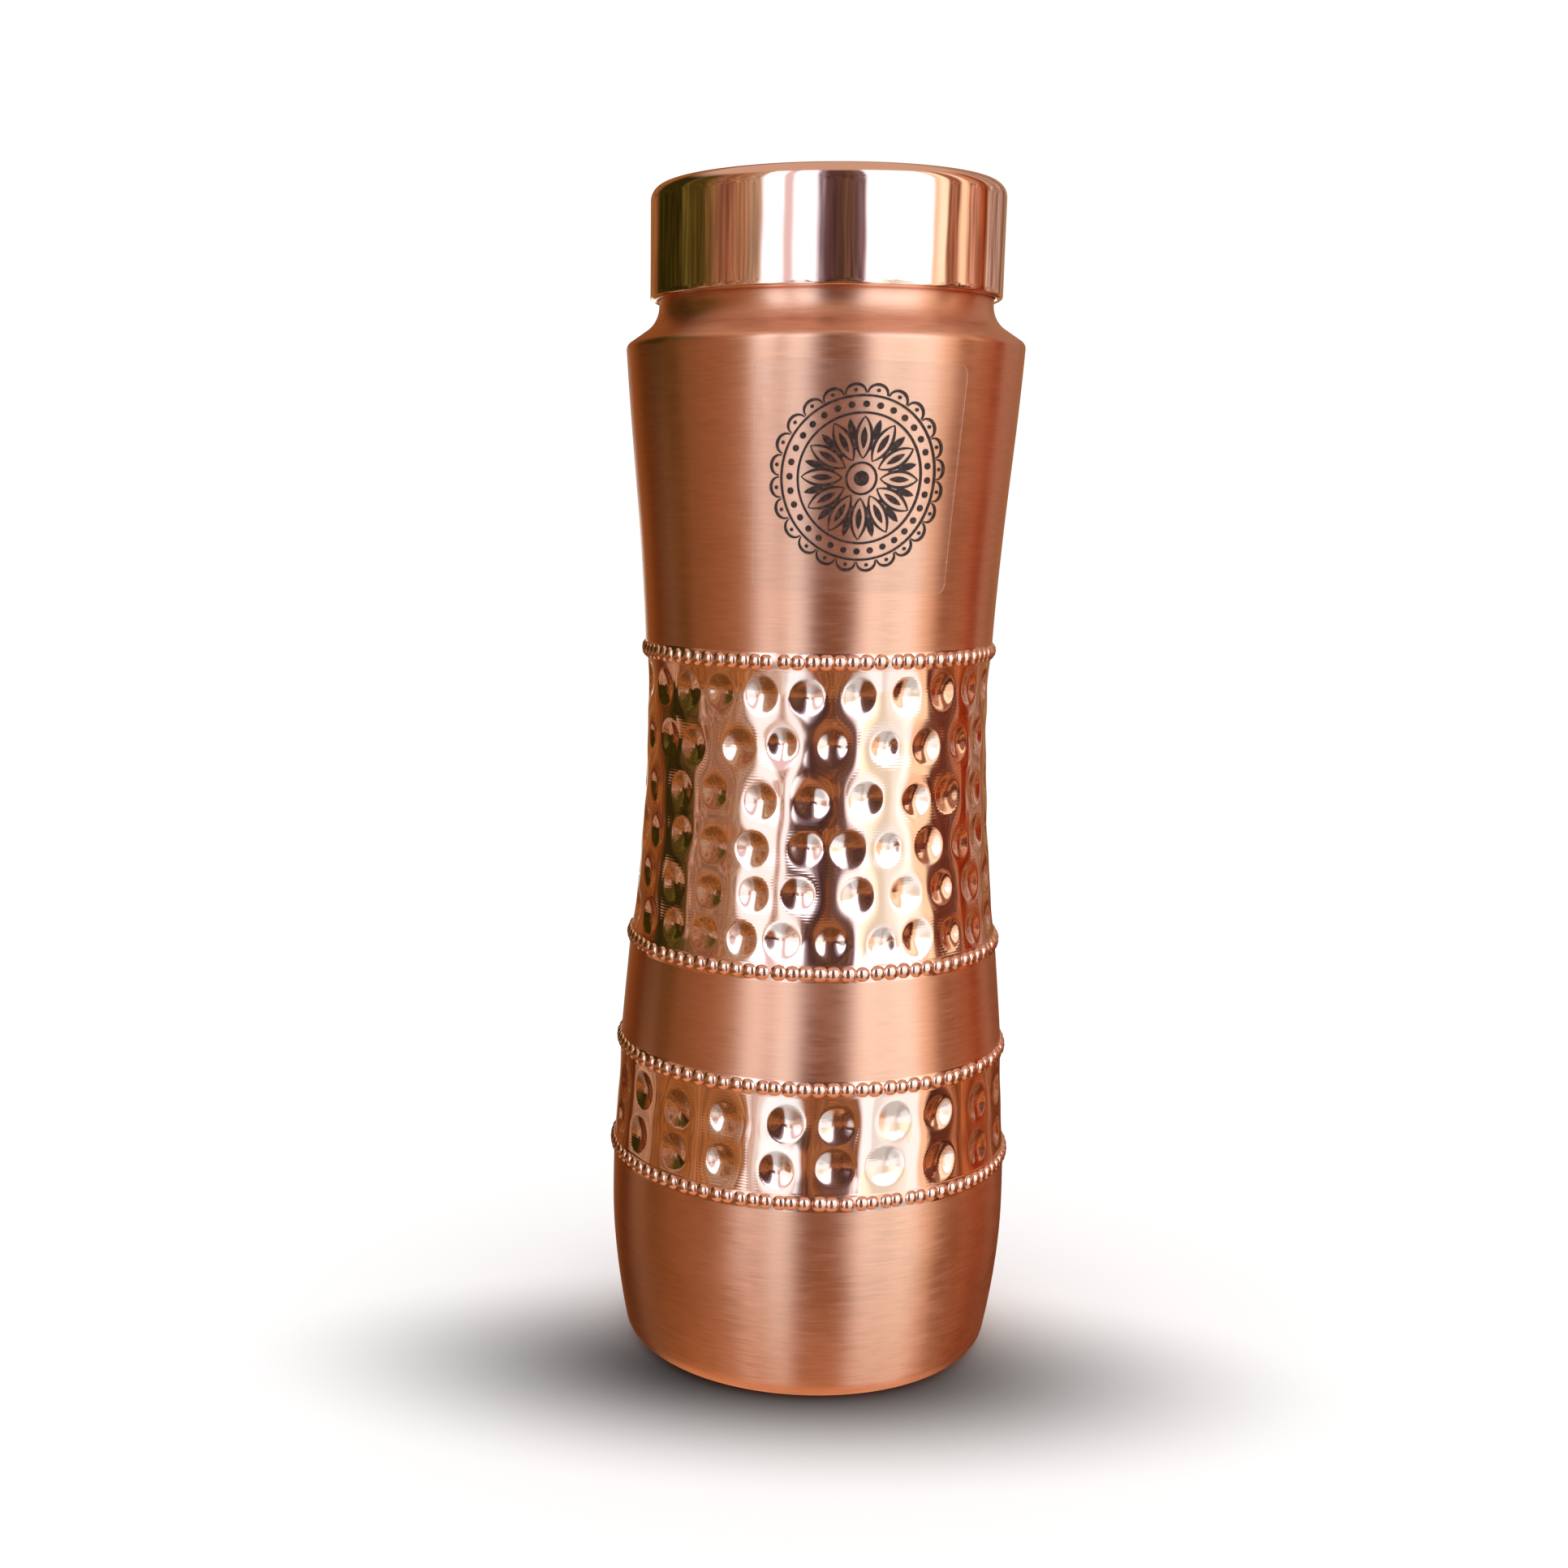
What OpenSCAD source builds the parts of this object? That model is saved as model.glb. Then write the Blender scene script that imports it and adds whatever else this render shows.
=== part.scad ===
// Hammered copper water bottle with a screw cap.
// Millimetres, +Z up. The origin is the centre of the standing ring, on the surface the bottle stands on.
// The label faces -Y. The cap is shown screwed down.

/* [Body] */
// Widest radius, low on the belly
belly_r = 38.8; // [37:0.1:40]
// Height of the widest point
belly_z = 29; // [26:0.5:32]
// Radius at the waist
waist_r = 32.5; // [32:0.1:34]
// Height of the waist
waist_z = 130; // [124:1:136]
// Radius under the shoulder
shoulder_r = 36.4; // [35.5:0.1:37.5]
// Height where the wall turns in at the shoulder
shoulder_z = 191.8; // [191:0.1:192.5]
// Thickness of the copper sheet
sheet_t = 0.6; // [0.5:0.1:0.8]

/* [Neck] */
// Outer radius of the neck below the cap
neck_r = 30.4; // [30:0.1:30.5]
// Height where the shoulder has curved up into the neck
neck_z = 199.6; // [199.4:0.1:199.8]
// Radius of the mouth
mouth_r = 26.9; // [26:0.1:27]
// Outer radius of the threaded collar between its ridges
collar_r = 28; // [27.9:0.05:28]
// Height of the rim
rim_z = 217.2; // [216.8:0.1:217.3]

/* [Cap] */
// Outer radius of the cap
cap_r = 32; // [31.9:0.1:32.5]
// Height of the cap's lower edge
cap_z = 200.4; // [200.3:0.1:200.6]
// Height of the cap's top edge
cap_top_z = 220.4; // [220.2:0.1:221]
// Radius of the corner round the cap's top
cap_corner = 2.5; // [1.5:0.1:2.8]

/* [Thread] */
// Rise in one turn
pitch = 4; // [3.6:0.1:4.4]
// Turns of ridge on the collar
neck_turns = 2.6; // [1.5:0.1:2.6]
// Turns of ridge in the cap
cap_turns = 2.4; // [1.5:0.1:2.4]

/* [Bands] */
// How far the beads stand proud
bead_proud = 0.6; // [0.4:0.05:0.65]

/* [Label] */
// Width of the film, measured round the wall
label_w = 37; // [30:1:40]
// Height of the film
label_h = 38.5; // [30:0.5:39]
// Height of the film's centre
label_z = 169; // [167:0.5:170]
// Lean of the film, clockwise
label_tilt = 1.5; // [0:0.1:3]

/* [Hidden] */
$fn = 96;

// The heel: a small round corner on the floor, then a fuller curve up to the belly.
heel_z = 3.5;
heel_drop = 3.3;
heel_power = 1.85;

// The wall leans out this much a millimetre where it meets the shoulder.
shoulder_lean = 0.06;
shoulder_corner = 1.5;
shoulder_turn = 56;

// The turned-in lip inside the standing ring, and the ledge on top of the neck.
lip_r = 28.2;
lip_top = 4.5;
lip_fold = 1.2;
ledge_z = 201.4;
ledge_fold = 1;

// The pan that closes the bottom.
pan_edge_z = 1.4;
pan_z = 4.8;
pan_dome = 1.1;
pan_fold = 1.4;

// Braze fillets.
fillet = 0.9;

// The four bead rows, from the top one down.
bead_rows = [137.7, 82.5, 61.5, 40.3];
bead_wire_r = 0.65;

// The collar: its skirt starts below the ledge, and its rim is rounded.
skirt_z = 198.5;
rim_round = 0.5;

// Thread ridges, and how far they reach into the wall that carries them.
ridge_depth = 1.35;
ridge_root_w = 1.6;
ridge_crest_w = 0.8;
ridge_bury = 0.3;
ridge_step = 10;
ridge_fade = 5;
neck_ridge_z = 204.6;
cap_ridge_z = 205;

// The cap: its sheet, its hem, and the ring that carries its thread.
cap_t = 0.5;
hem_fold = 0.7;
hem_top_z = 202.2;
cap_dome = 0.2;
ring_r = 29.75;
ring_z = 203.2;
ring_top_z = 217.4;

// The sealing washer lies between the rim and the cap's underside.
gasket_in_r = 25.2;
gasket_out_r = 29.4;
gasket_gap = 0.1;
gasket_edge = 0.3;

// The film, the print on it and the medallion.
film_t = 0.15;
print_t = 0.06;
film_corner = 2.5;
film_stretch = 0.1;
petals = 12;
petal_long = 6.6;
petal_wide = 2.4;
petal_start = 3.3;
dots = 32;
dot_r = 0.6;
dot_ring_r = 12.2;
line_w = 0.5;
ring_radii = [2.6, 10.8, 13.6];

// Steps along each stretch of the outline.
arc_steps = 5;
heel_steps = 6;
belly_steps = 16;
chest_steps = 10;

copper = "#b87048";
bright_copper = "#d89070";
braze = "#c8a060";

// ---- Outlines ----

// Points [radius, height] along an arc.
function arc(centre, r, from, to, steps) =
  [for (i = [0 : steps]) let (a = from + (to - from) * i / steps) centre + r * [cos(a), sin(a)]];

function unit(v) = v / norm(v);

// Unit vector to the left of the way from a to b.
function left_of(a, b) = let (d = unit(b - a)) [-d[1], d[0]];

// Where a sheet's other face lies at point i, for a thickness of 1.
function across(path, i) =
  let (
    last = len(path) - 1,
    before = max(i - 1, 0),
    after = min(i, last - 1),
    n1 = left_of(path[before], path[before + 1]),
    n2 = left_of(path[after], path[after + 1])
  )
  (n1 + n2) / (1 + n1 * n2);

// The sheet's other face, kept off the far side of the axis.
function other_face(path, t) =
  [for (i = [0 : len(path) - 1]) let (p = path[i] + t * across(path, i)) [max(p[0], 0), p[1]]];

function reversed(list) = [for (i = [len(list) - 1 : -1 : 0]) list[i]];

// Radius of the outside of the wall at height z, from the heel to the shoulder.
function wall_r(z) =
  z <= belly_z ? belly_r - heel_drop * pow((belly_z - z) / belly_z, heel_power)
  : z <= waist_z ? waist_blend((z - belly_z) / (waist_z - belly_z))
  : chest_blend((z - waist_z) / (shoulder_z - waist_z));

function waist_blend(t) = (belly_r + waist_r) / 2 + (belly_r - waist_r) / 2 * cos(180 * t);

function chest_blend(t) =
  waist_r + (3 * t * t - 2 * t * t * t) * (shoulder_r - waist_r)
  + (t * t * t - t * t) * (shoulder_z - waist_z) * shoulder_lean;

// The round corner on the floor meets the wall at heel_z without a kink.
heel_slope = heel_drop * heel_power / belly_z * pow((belly_z - heel_z) / belly_z, heel_power - 1);
heel_turn = atan2(1, heel_slope);
heel_corner = heel_z / (1 - cos(heel_turn));
foot_r = wall_r(heel_z) - heel_corner * sin(heel_turn);

// The shoulder: a small convex corner, a short cone and a hollow curve up to the neck.
lean_angle = atan(shoulder_lean);
corner_centre = [
  shoulder_r - shoulder_corner * cos(lean_angle),
  shoulder_z + shoulder_corner * sin(lean_angle)
];
corner_end = corner_centre + shoulder_corner * [cos(shoulder_turn), sin(shoulder_turn)];
hollow_r =
  ((neck_z - corner_end[1]) * sin(shoulder_turn) - (corner_end[0] - neck_r) * cos(shoulder_turn))
  / (1 - cos(shoulder_turn));

function wall_points(from, to, steps) =
  [for (i = [1 : steps]) let (z = from + (to - from) * i / steps) [wall_r(z), z]];

function without_first(list) = [for (i = [1 : len(list) - 1]) list[i]];

body_path = concat(
  [[lip_r, lip_top]],
  arc([lip_r + lip_fold, lip_fold], lip_fold, 180, 270, arc_steps),
  arc([foot_r, heel_corner], heel_corner, -90, heel_turn - 90, heel_steps),
  wall_points(heel_z, belly_z, heel_steps),
  wall_points(belly_z, waist_z, belly_steps),
  wall_points(waist_z, shoulder_z, chest_steps),
  without_first(arc(corner_centre, shoulder_corner, -lean_angle, shoulder_turn, arc_steps)),
  arc([neck_r + hollow_r, neck_z], hollow_r, 180 + shoulder_turn, 180, heel_steps),
  arc([neck_r - ledge_fold, ledge_z - ledge_fold], ledge_fold, 0, 90, arc_steps),
  [[collar_r, ledge_z]]
);

pan_path = concat(
  [[lip_r, pan_edge_z]],
  arc([lip_r - pan_fold, pan_z - pan_fold], pan_fold, 0, 90, arc_steps),
  [
    for (i = [1 : arc_steps])
      let (r = (lip_r - pan_fold) * (1 - i / arc_steps))
      [r, pan_z + pan_dome * cos(90 * r / (lip_r - pan_fold))]
  ]
);

hem_r = cap_r - 2 * hem_fold;
cap_path = concat(
  [[hem_r, hem_top_z]],
  arc([hem_r + hem_fold, cap_z + hem_fold], hem_fold, 180, 360, 2 * arc_steps),
  arc([cap_r - cap_corner, cap_top_z - cap_corner], cap_corner, 0, 90, heel_steps),
  [
    for (i = [1 : arc_steps])
      let (r = (cap_r - cap_corner) * (1 - i / arc_steps))
      [r, cap_top_z + cap_dome * cos(90 * r / (cap_r - cap_corner))]
  ]
);

// ---- Shared shapes ----

// A turned sheet of thickness t whose outside follows path, with the material on its left.
module sheet(path, t) {
  rotate_extrude() polygon(concat(path, reversed(other_face(path, t))));
}

// A small braze fillet: a triangle turned round the axis.
module fillet_ring(corner, dr, dz) {
  rotate_extrude() polygon([corner, corner + [dr, 0], corner + [0, dz]]);
}

// A plain ring with bevelled edges.
module washer(in_r, out_r, low, high, edge) {
  rotate_extrude() polygon([
    [in_r + edge, low], [out_r - edge, low], [out_r, low + edge], [out_r, high - edge],
    [out_r - edge, high], [in_r + edge, high], [in_r, high - edge], [in_r, low + edge]
  ]);
}

// One section of a ridge at angle a: crest_r is reached where fade is 1.
function ridge_section(a, z, anchor_r, crest_r, fade) =
  let (
    tip_r = anchor_r + fade * (crest_r - anchor_r),
    out = crest_r > anchor_r,
    low_r = out ? anchor_r : tip_r,
    high_r = out ? tip_r : anchor_r,
    low_w = (out ? ridge_root_w : ridge_crest_w) / 2,
    high_w = (out ? ridge_crest_w : ridge_root_w) / 2
  )
  [
    [low_r * cos(a), low_r * sin(a), z - low_w],
    [high_r * cos(a), high_r * sin(a), z - high_w],
    [high_r * cos(a), high_r * sin(a), z + high_w],
    [low_r * cos(a), low_r * sin(a), z + low_w]
  ];

// A right-handed thread ridge that grows out of its wall and fades back into it.
module thread_ridge(anchor_r, crest_r, start_z, turns, phase) {
  count = round(turns * 360 / ridge_step);
  least = 0.1;
  points = [
    for (i = [0 : count])
      let (
        fade = max(least, min(1, i / ridge_fade, (count - i) / ridge_fade)),
        a = i * ridge_step
      )
      each ridge_section(a + phase, start_z + pitch * a / 360, anchor_r, crest_r, fade)
  ];
  sides = [
    for (i = [0 : count - 1], k = [0 : 3])
      let (a = 4 * i + k, b = 4 * i + (k + 1) % 4)
      each [[a, b, b + 4], [a, b + 4, a + 4]]
  ];
  last = 4 * count;
  ends = [[0, 3, 2], [0, 2, 1], [last, last + 1, last + 2], [last, last + 2, last + 3]];
  polyhedron(points, concat(sides, ends), convexity = 8);
}

// A skin of thickness t lying off the wall by gap, over the stretch that carries the film.
module wall_skin(gap, t) {
  low = waist_z + film_stretch * (shoulder_z - waist_z);
  wall = wall_points(low, shoulder_z, chest_steps * (1 - film_stretch));
  inside = [for (p = wall) p + [gap, 0]];
  outside = [for (p = wall) p + [gap + t, 0]];
  rotate_extrude() polygon(concat(inside, reversed(outside)));
}

// A flat shape in the film's own plane, carried through the front wall.
module through_front(depth) {
  translate([0, 0, label_z]) rotate([90, 0, 0]) rotate([0, 0, -label_tilt])
    linear_extrude(height = depth) children();
}

film_turn = label_w / wall_r(label_z) * 90 / PI;
film_chord = 2 * wall_r(label_z) * sin(film_turn);

module film_outline() {
  w = film_chord - 2 * film_corner;
  h = label_h - 2 * film_corner;
  square([film_chord, h], center = true);
  square([w, label_h], center = true);
  for (x = [-1, 1], y = [-1, 1]) translate([x * w / 2, y * h / 2]) circle(film_corner, $fn = 32);
}

// A leaf with two pointed ends, standing on the centre.
module petal() {
  bow = (petal_long * petal_long / petal_wide + petal_wide) / 4;
  translate([0, petal_start + petal_long / 2]) intersection() {
    translate([bow - petal_wide / 2, 0]) circle(bow);
    translate([petal_wide / 2 - bow, 0]) circle(bow);
  }
}

module medallion() {
  for (r = ring_radii) difference() {
    circle(r + line_w / 2);
    circle(r - line_w / 2);
  }
  for (i = [0 : petals - 1]) rotate(i * 360 / petals) petal();
  for (i = [0 : dots - 1]) rotate(i * 360 / dots) translate([dot_ring_r, 0]) circle(dot_r, $fn = 24);
}

// ---- Bottle ----

// The drawn copper wall, from the turned-in lip under the heel to the ledge on the neck.
module body_shell() {
  color(copper) {
    sheet(body_path, sheet_t);
    for (z = bead_rows)
      rotate_extrude() translate([wall_r(z) + bead_proud - bead_wire_r, z]) circle(bead_wire_r, $fn = 24);
  }
}

// The pressed pan that closes the bottom, set up inside the standing ring.
module base_pan() {
  color(copper) sheet(pan_path, sheet_t);
}

// The braze under the pan's edge.
module base_braze() {
  color(braze) fillet_ring([lip_r, pan_edge_z], -fillet * 0.8, -fillet * 0.4);
}

// The threaded collar that makes the mouth, standing through the ledge.
module neck_collar() {
  color(bright_copper) {
    rotate_extrude() polygon([
      [mouth_r, skirt_z], [collar_r, skirt_z], [collar_r, rim_z - rim_round],
      [collar_r - rim_round, rim_z], [mouth_r + rim_round, rim_z], [mouth_r, rim_z - rim_round]
    ]);
    thread_ridge(collar_r - ridge_bury, collar_r + ridge_depth, neck_ridge_z, neck_turns, 0);
  }
}

// The braze in the corner between the collar and the ledge.
module neck_braze() {
  color(braze) fillet_ring([collar_r, ledge_z], fillet, fillet);
}

// The clear film of the label.
module label_film() {
  color("white", 0.35) intersection() {
    wall_skin(0, film_t);
    through_front(2 * shoulder_r) film_outline();
  }
}

// The printed medallion on the film.
module label_print() {
  color("#3a2118") intersection() {
    wall_skin(film_t, print_t);
    through_front(2 * shoulder_r) medallion();
  }
}

// ---- Cap ----

// The soft washer that the cap presses on the rim.
module gasket() {
  high = cap_top_z - cap_t - gasket_gap;
  color("#e8e4dc") washer(gasket_in_r, gasket_out_r, rim_z + gasket_gap, high, gasket_edge);
}

// The spun cap, with its lower edge hemmed inwards.
module cap_shell() {
  color(bright_copper) sheet(cap_path, cap_t);
}

// The ring brazed into the cap, with the thread on its inside.
module cap_thread_ring() {
  color(copper) {
    rotate_extrude() polygon([
      [ring_r, ring_z], [cap_r - cap_t, ring_z], [cap_r - cap_t, ring_top_z], [ring_r, ring_top_z]
    ]);
    thread_ridge(ring_r + ridge_bury, ring_r - ridge_depth, cap_ridge_z, cap_turns, 180);
  }
}

// The braze under the ring.
module cap_braze() {
  color(braze) fillet_ring([cap_r - cap_t, ring_z], -fillet, -fillet * 0.7);
}

body_shell();
base_pan();
base_braze();
neck_collar();
neck_braze();
label_film();
label_print();
gasket();
cap_shell();
cap_thread_ring();
cap_braze();
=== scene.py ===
"""A hammered copper water bottle with a screw cap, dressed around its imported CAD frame.

Lengths inside the piece classes are millimetres, as in the CAD source. A finished mesh is scaled to
metres once, when its object is made. Angles round the bottle are counted from the label's axis, -Y,
and grow towards +X.
"""

import logging
import math
from dataclasses import dataclass
from enum import Enum
from typing import Callable, Dict, List, Mapping, Optional, Sequence, Tuple, Union

import bmesh
import bpy
import numpy as np
from mathutils import Matrix, Vector


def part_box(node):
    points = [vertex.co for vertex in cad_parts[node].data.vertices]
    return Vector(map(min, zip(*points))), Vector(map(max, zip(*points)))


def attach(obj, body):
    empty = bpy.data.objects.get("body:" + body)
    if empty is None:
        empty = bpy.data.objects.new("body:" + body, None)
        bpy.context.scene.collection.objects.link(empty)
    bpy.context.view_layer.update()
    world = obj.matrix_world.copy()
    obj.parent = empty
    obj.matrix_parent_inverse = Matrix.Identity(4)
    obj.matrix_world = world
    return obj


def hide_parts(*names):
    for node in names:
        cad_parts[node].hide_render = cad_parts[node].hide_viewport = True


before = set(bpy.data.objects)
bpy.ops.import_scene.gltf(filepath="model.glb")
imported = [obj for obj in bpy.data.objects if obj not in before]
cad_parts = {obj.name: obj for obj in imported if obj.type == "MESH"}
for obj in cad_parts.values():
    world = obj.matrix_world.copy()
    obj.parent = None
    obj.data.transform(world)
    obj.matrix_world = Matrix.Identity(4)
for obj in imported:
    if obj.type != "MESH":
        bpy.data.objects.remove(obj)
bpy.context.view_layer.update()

LOG = logging.getLogger("bottle")
MM = 0.001
TURN = 2 * math.pi
DEGREES = 360 / TURN
SEED = 7
STUCK = 0.02

Point = Tuple[float, float]
Path = List[Point]
Colour = Tuple[float, float, float]
Span = Tuple[float, float]
Feed = Union[float, Sequence[float], bpy.types.NodeSocket]


class Body(Enum):
    """The bodies that pieces ride on."""

    BOTTLE = "bottle"
    SEAL = "seal"
    CAP = "cap"


class Slot(Enum):
    """The record's material slots."""

    SATIN = "satin_copper"
    POLISHED = "polished_copper"
    TURNED = "turned_copper"
    BRAZE = "braze"
    FILM = "clear_film"
    INK = "print_ink"
    SILICONE = "silicone"


# ---------------------------------------------------------------------------------------------
# Node sheets and finishes
# ---------------------------------------------------------------------------------------------


class NodeSheet:
    """A node tree that is written one node at a time."""

    def __init__(self, tree: bpy.types.NodeTree) -> None:
        """Empties the tree.

        Args:
            tree: The material's or the world's node tree.
        """
        self.tree = tree
        tree.nodes.clear()

    def add(
        self, kind: str, feeds: Optional[Mapping[Union[str, int], Feed]] = None, **settings: object
    ) -> bpy.types.Node:
        """Adds a node.

        Args:
            kind: Blender's name for the node type.
            feeds: Values or sockets for the node's inputs, by name or place.
            settings: Properties set on the node itself.

        Returns:
            The new node.
        """
        node = self.tree.nodes.new(kind)
        for name, setting in settings.items():
            setattr(node, name, setting)
        for key, feed in (feeds or {}).items():
            if isinstance(feed, bpy.types.NodeSocket):
                self.tree.links.new(feed, node.inputs[key])
            else:
                node.inputs[key].default_value = feed
        return node

    def math(self, operation: str, a: Feed, b: Feed = 0.0, c: Feed = 0.0) -> bpy.types.NodeSocket:
        """Returns the result of a Math node on up to three values."""
        return self.add("ShaderNodeMath", {0: a, 1: b, 2: c}, operation=operation).outputs[0]

    def object_place(self, stretch: Sequence[float] = (1.0, 1.0, 1.0)) -> bpy.types.NodeSocket:
        """Returns object coordinates in metres, scaled along each axis."""
        place = self.add("ShaderNodeTexCoord").outputs["Object"]
        return self.add("ShaderNodeMapping", {"Vector": place, "Scale": stretch}).outputs[0]

    def noise(self, place: Feed, scale: float = 1.0, detail: float = 2.0) -> bpy.types.NodeSocket:
        """Returns a noise value from 0 to 1 at a place."""
        feeds = {"Vector": place, "Scale": scale, "Detail": detail}
        return self.add("ShaderNodeTexNoise", feeds).outputs[0]

    def remap(
        self, value: Feed, low: float, high: float, to_low: float = 0.0, to_high: float = 1.0
    ) -> bpy.types.NodeSocket:
        """Carries a value smoothly from the range low..high to the range to_low..to_high.

        Args:
            value: The value to carry over.
            low: Where the source range starts.
            high: Where the source range ends.
            to_low: The result at and before low.
            to_high: The result at and after high.

        Returns:
            The carried value.
        """
        feeds = {0: value, 1: low, 2: high, 3: to_low, 4: to_high}
        return self.add("ShaderNodeMapRange", feeds, interpolation_type="SMOOTHSTEP").outputs[0]

    def blend(self, share: Feed, a: Feed, b: Feed) -> bpy.types.NodeSocket:
        """Returns the colour between a and b, b where share is 1."""
        return self.add("ShaderNodeMix", {0: share, 6: a, 7: b}, data_type="RGBA").outputs[2]

    def bump(
        self, height: Feed, distance: float, under: Optional[bpy.types.NodeSocket] = None
    ) -> bpy.types.NodeSocket:
        """Returns a normal that follows a height field.

        Args:
            height: The height, from 0 to 1.
            distance: The rise in metres where the height is 1.
            under: The normal of a coarser bump that this one lies on.

        Returns:
            The bumped normal.
        """
        feeds: Dict[Union[str, int], Feed] = {"Height": height, "Distance": distance}
        if under is not None:
            feeds["Normal"] = under
        return self.add("ShaderNodeBump", feeds).outputs[0]

    def mixed(self, a: Feed, share_a: float, b: Feed, share_b: float = 1.0) -> bpy.types.NodeSocket:
        """Returns the sum of two values, each taken at its share."""
        if share_b != 1.0:
            b = self.math("MULTIPLY", b, share_b)
        return self.math("ADD", self.math("MULTIPLY", a, share_a), b)

    def principled(self, feeds: Mapping[Union[str, int], Feed]) -> None:
        """Ends a material with a Principled shader that takes these inputs."""
        shader = self.add("ShaderNodeBsdfPrincipled", feeds)
        self.add("ShaderNodeOutputMaterial", {"Surface": shader.outputs[0]})


def rgba(colour: Colour) -> Tuple[float, float, float, float]:
    """Returns the colour with full opacity."""
    return (*colour, 1.0)


def shade(colour: Colour, factor: float) -> Tuple[float, float, float, float]:
    """Returns the colour made lighter or darker, with full opacity."""
    return rgba(tuple(min(1.0, channel * factor) for channel in colour))


def new_material(name: str, write: Callable[[NodeSheet], None]) -> bpy.types.Material:
    """Returns a new material whose nodes are written by write."""
    material = bpy.data.materials.new(name)
    material.use_nodes = True
    write(NodeSheet(material.node_tree))
    return material


class Finish:
    """What a surface is made of. A finish makes its material the first time it is asked for."""

    name = "finish"
    _made: Dict[str, bpy.types.Material] = {}

    def material(self) -> bpy.types.Material:
        """Returns the finish's material, made once."""
        if self.name not in Finish._made:
            Finish._made[self.name] = new_material(self.name, self.write)
        return Finish._made[self.name]

    def write(self, sheet: NodeSheet) -> None:
        """Writes the material's nodes."""
        raise NotImplementedError


@dataclass(frozen=True)
class BrushedCopper(Finish):
    """Satin copper, brushed round the bottle.

    Attributes:
        name: The material's name.
        colour: The copper's colour, looking straight at it.
        roughness: Roughness before the brushing stretches it.
        uneven: How far the roughness strays either way.
        stretch: How far the brushing stretches highlights up and down, from 0 to 1.
        line_pitch: Spacing of the finest brush lines in metres.
        line_length: Length of a brush line in metres.
        line_depth: Depth of the brush lines in metres.
        tones: How dark and how light the lines are, as shares of the colour.
        patches: Worn patches in a metre.
        pits: Small pits in a metre.
        pit_tone: How dark a pit is, as a share of the colour.
    """

    name: str = "brushed_copper"
    colour: Colour = (0.90, 0.455, 0.295)
    roughness: float = 0.35
    uneven: float = 0.05
    stretch: float = 0.84
    line_pitch: float = 0.00036
    line_length: float = 0.0045
    line_depth: float = 0.000009
    tones: Span = (0.9, 1.08)
    patches: float = 70.0
    pits: float = 2600.0
    pit_tone: float = 0.45

    def write(self, sheet: NodeSheet) -> None:
        """Writes brush lines at two sizes, worn patches and small pits."""
        along, up = 1 / self.line_length, 1 / self.line_pitch
        fine = sheet.noise(sheet.object_place((along, along, up)), 1.0, 3.0)
        broad = sheet.noise(sheet.object_place((along / 2, along / 2, 0.3 * up)), 1.0, 2.0)
        patch = sheet.noise(sheet.object_place((1.0, 1.0, 0.7)), self.patches, 3.0)
        pits = sheet.remap(sheet.noise(sheet.object_place(), self.pits, 1.0), 0.7, 0.82)
        lines = sheet.mixed(fine, 0.7, broad, 0.3)
        tone = sheet.remap(sheet.mixed(patch, 0.6, lines), 0.55, 1.05)
        dark, light = (shade(self.colour, share) for share in self.tones)
        colour = sheet.blend(tone, dark, light)
        colour = sheet.blend(sheet.math("MULTIPLY", pits, 0.35), colour, shade(self.colour, self.pit_tone))
        smooth, rough = self.roughness - self.uneven, self.roughness + self.uneven
        roughness = sheet.remap(sheet.math("ADD", lines, patch), 0.7, 1.3, smooth, rough)
        relief = sheet.math("SUBTRACT", lines, sheet.math("MULTIPLY", pits, 0.5))
        normal = sheet.bump(relief, self.line_depth)
        tangent = sheet.add("ShaderNodeTangent", direction_type="RADIAL", axis="Z").outputs[0]
        sheet.principled({
            "Base Color": colour, "Metallic": 1.0, "Roughness": roughness, "Anisotropic": self.stretch,
            "Anisotropic Rotation": 0.25, "Tangent": tangent, "Normal": normal,
        })


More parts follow.
